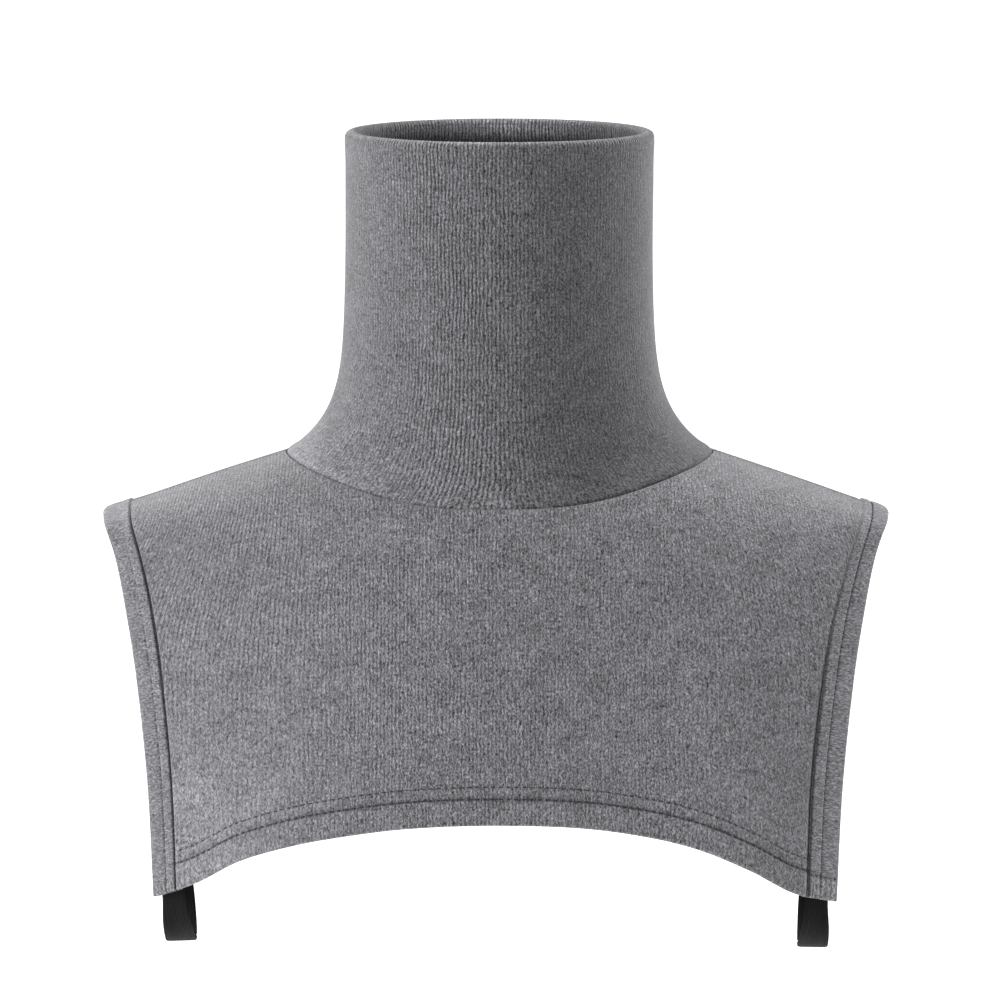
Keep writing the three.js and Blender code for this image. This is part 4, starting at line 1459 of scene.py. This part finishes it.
class StageSettings(bpy.types.PropertyGroup):
    distance: size_of("Camera distance", "From the camera to its aim", 2.4)
    aim: bpy.props.FloatVectorProperty(
        name="Aim", description="Where the camera looks", default=(0.00107, 0, -0.0215), unit="LENGTH"
    )
    elevation: share_of("Camera rise", "Angle of the camera above level, in degrees", 7)
    half_view: share_of("Half view", "Half of the camera's view, in degrees", 5.0876)
    floor_size: size_of("Floor size", "Width of the floor", 60)
    floor_drop: size_of("Floor drop", "How far the floor lies below the neck base", 0.5)
    near_glow: share_of("Near glow", "Light that the white floor adds in front", 0.2)
    far_glow: share_of("Far glow", "Light that the white floor adds behind", 0.6)
    front_light: share_of("Front light", "Surrounding light from in front", 0.19)
    back_light: share_of("Back light", "Surrounding light from behind", 1.05)
    lean: share_of("Lean", "How far the surrounding light leans to the left", 0.45)
    fade_from: share_of("Fade from", "Where the front light starts to brighten", -0.6)
    fade_to: share_of("Fade to", "Where the back light is full", 0.45)
    key_power: share_of("Key power", "Power of the left light, in watts", 29)
    right_power: share_of("Right power", "Power of the right light, in watts", 2.6)
    top_power: share_of("Top power", "Power of the top light, in watts", 50)


class DickeySettings(bpy.types.PropertyGroup):
    knit: bpy.props.PointerProperty(type=KnitSettings)
    collar: bpy.props.PointerProperty(type=CollarSettings)
    hem: bpy.props.PointerProperty(type=HemSettings)
    binding: bpy.props.PointerProperty(type=BindingSettings)
    elastic: bpy.props.PointerProperty(type=ElasticSettings)
    stage: bpy.props.PointerProperty(type=StageSettings)


WINGS = (("right", -1), ("left", 1))


class DICKEY_OT_stage(bpy.types.Operator):
    """Make the floor, the lights and the camera"""

    bl_idname = "dickey.stage"
    bl_label = "Stage"

    def execute(self, context):
        make_stage(context.scene.dickey)
        return {"FINISHED"}


class DICKEY_OT_collar(bpy.types.Operator):
    """Make the doubled collar with its rolled rim"""

    bl_idname = "dickey.collar"
    bl_label = "Collar"

    def execute(self, context):
        piece = make_collar(context.scene.dickey)
        return {"FINISHED"}


class DICKEY_OT_bib(bpy.types.Operator):
    """Make the front and back panels of the bib"""

    bl_idname = "dickey.bib"
    bl_label = "Bib panels"

    def execute(self, context):
        settings = context.scene.dickey
        for side, name, node, flat, area in (
            (FRONT, "front_knit", "front_panel", (0.38, 0.19), 0.055),
            (BACK, "back_knit", "back_panel", (0.38, 0.19), 0.057),
        ):
            piece = make_panel(settings, side, name)
            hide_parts(node)
        return {"FINISHED"}


class DICKEY_OT_bindings(bpy.types.Operator):
    """Make the two armhole bindings"""

    bl_idname = "dickey.bindings"
    bl_label = "Bindings"

    def execute(self, context):
        for hand, wing in WINGS:
            piece = make_binding(context.scene.dickey, wing, f"binding_{hand}")
            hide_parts(f"armhole_binding_{hand}")
        return {"FINISHED"}


class DICKEY_OT_elastic(bpy.types.Operator):
    """Make the elastic loops under the arms"""

    bl_idname = "dickey.elastic"
    bl_label = "Elastic loops"

    def execute(self, context):
        for hand, wing in WINGS:
            piece = make_elastic(context.scene.dickey, wing, f"elastic_{hand}")
            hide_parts(f"elastic_loop_{hand}")
        return {"FINISHED"}


class DICKEY_OT_stitches(bpy.types.Operator):
    """Make the stitches of the hems and the bindings"""

    bl_idname = "dickey.stitches"
    bl_label = "Stitches"

    def execute(self, context):
        settings = context.scene.dickey
        make_hem_stitches(settings, FRONT, "front_hem_stitches")
        make_hem_stitches(settings, BACK, "back_hem_stitches")
        for hand, wing in WINGS:
            make_binding_stitches(settings, wing, f"binding_stitches_{hand}")
        return {"FINISHED"}


OPERATORS = (
    DICKEY_OT_stage,
    DICKEY_OT_collar,
    DICKEY_OT_bib,
    DICKEY_OT_bindings,
    DICKEY_OT_elastic,
    DICKEY_OT_stitches,
)


class DICKEY_PT_panel(bpy.types.Panel):
    """Lists the pieces of the dickey"""

    bl_idname = "DICKEY_PT_panel"
    bl_label = "Turtleneck Dickey"
    bl_space_type = "VIEW_3D"
    bl_region_type = "UI"
    bl_category = "Dickey"

    def draw(self, context):
        for operator in OPERATORS:
            self.layout.operator(operator.bl_idname)
        for group in ("knit", "collar", "hem", "binding", "elastic", "stage"):
            settings = getattr(context.scene.dickey, group)
            box = self.layout.box()
            box.label(text=group.title())
            for name in settings.__annotations__:
                box.prop(settings, name)


CLASSES = (
    KnitSettings,
    CollarSettings,
    HemSettings,
    BindingSettings,
    ElasticSettings,
    StageSettings,
    DickeySettings,
    *OPERATORS,
    DICKEY_PT_panel,
)


def register():
    """Adds the panel, the operators and the settings."""
    for made in CLASSES:
        bpy.utils.register_class(made)
    bpy.types.Scene.dickey = bpy.props.PointerProperty(type=DickeySettings)


def unregister():
    """Takes out what register added."""
    del bpy.types.Scene.dickey
    for made in reversed(CLASSES):
        bpy.utils.unregister_class(made)


def main():
    """Makes every piece."""
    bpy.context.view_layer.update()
    register()
    bpy.ops.dickey.stage()
    bpy.ops.dickey.collar()
    bpy.ops.dickey.bib()
    bpy.ops.dickey.bindings()
    bpy.ops.dickey.elastic()
    bpy.ops.dickey.stitches()


if __name__ == "__main__":
    main()
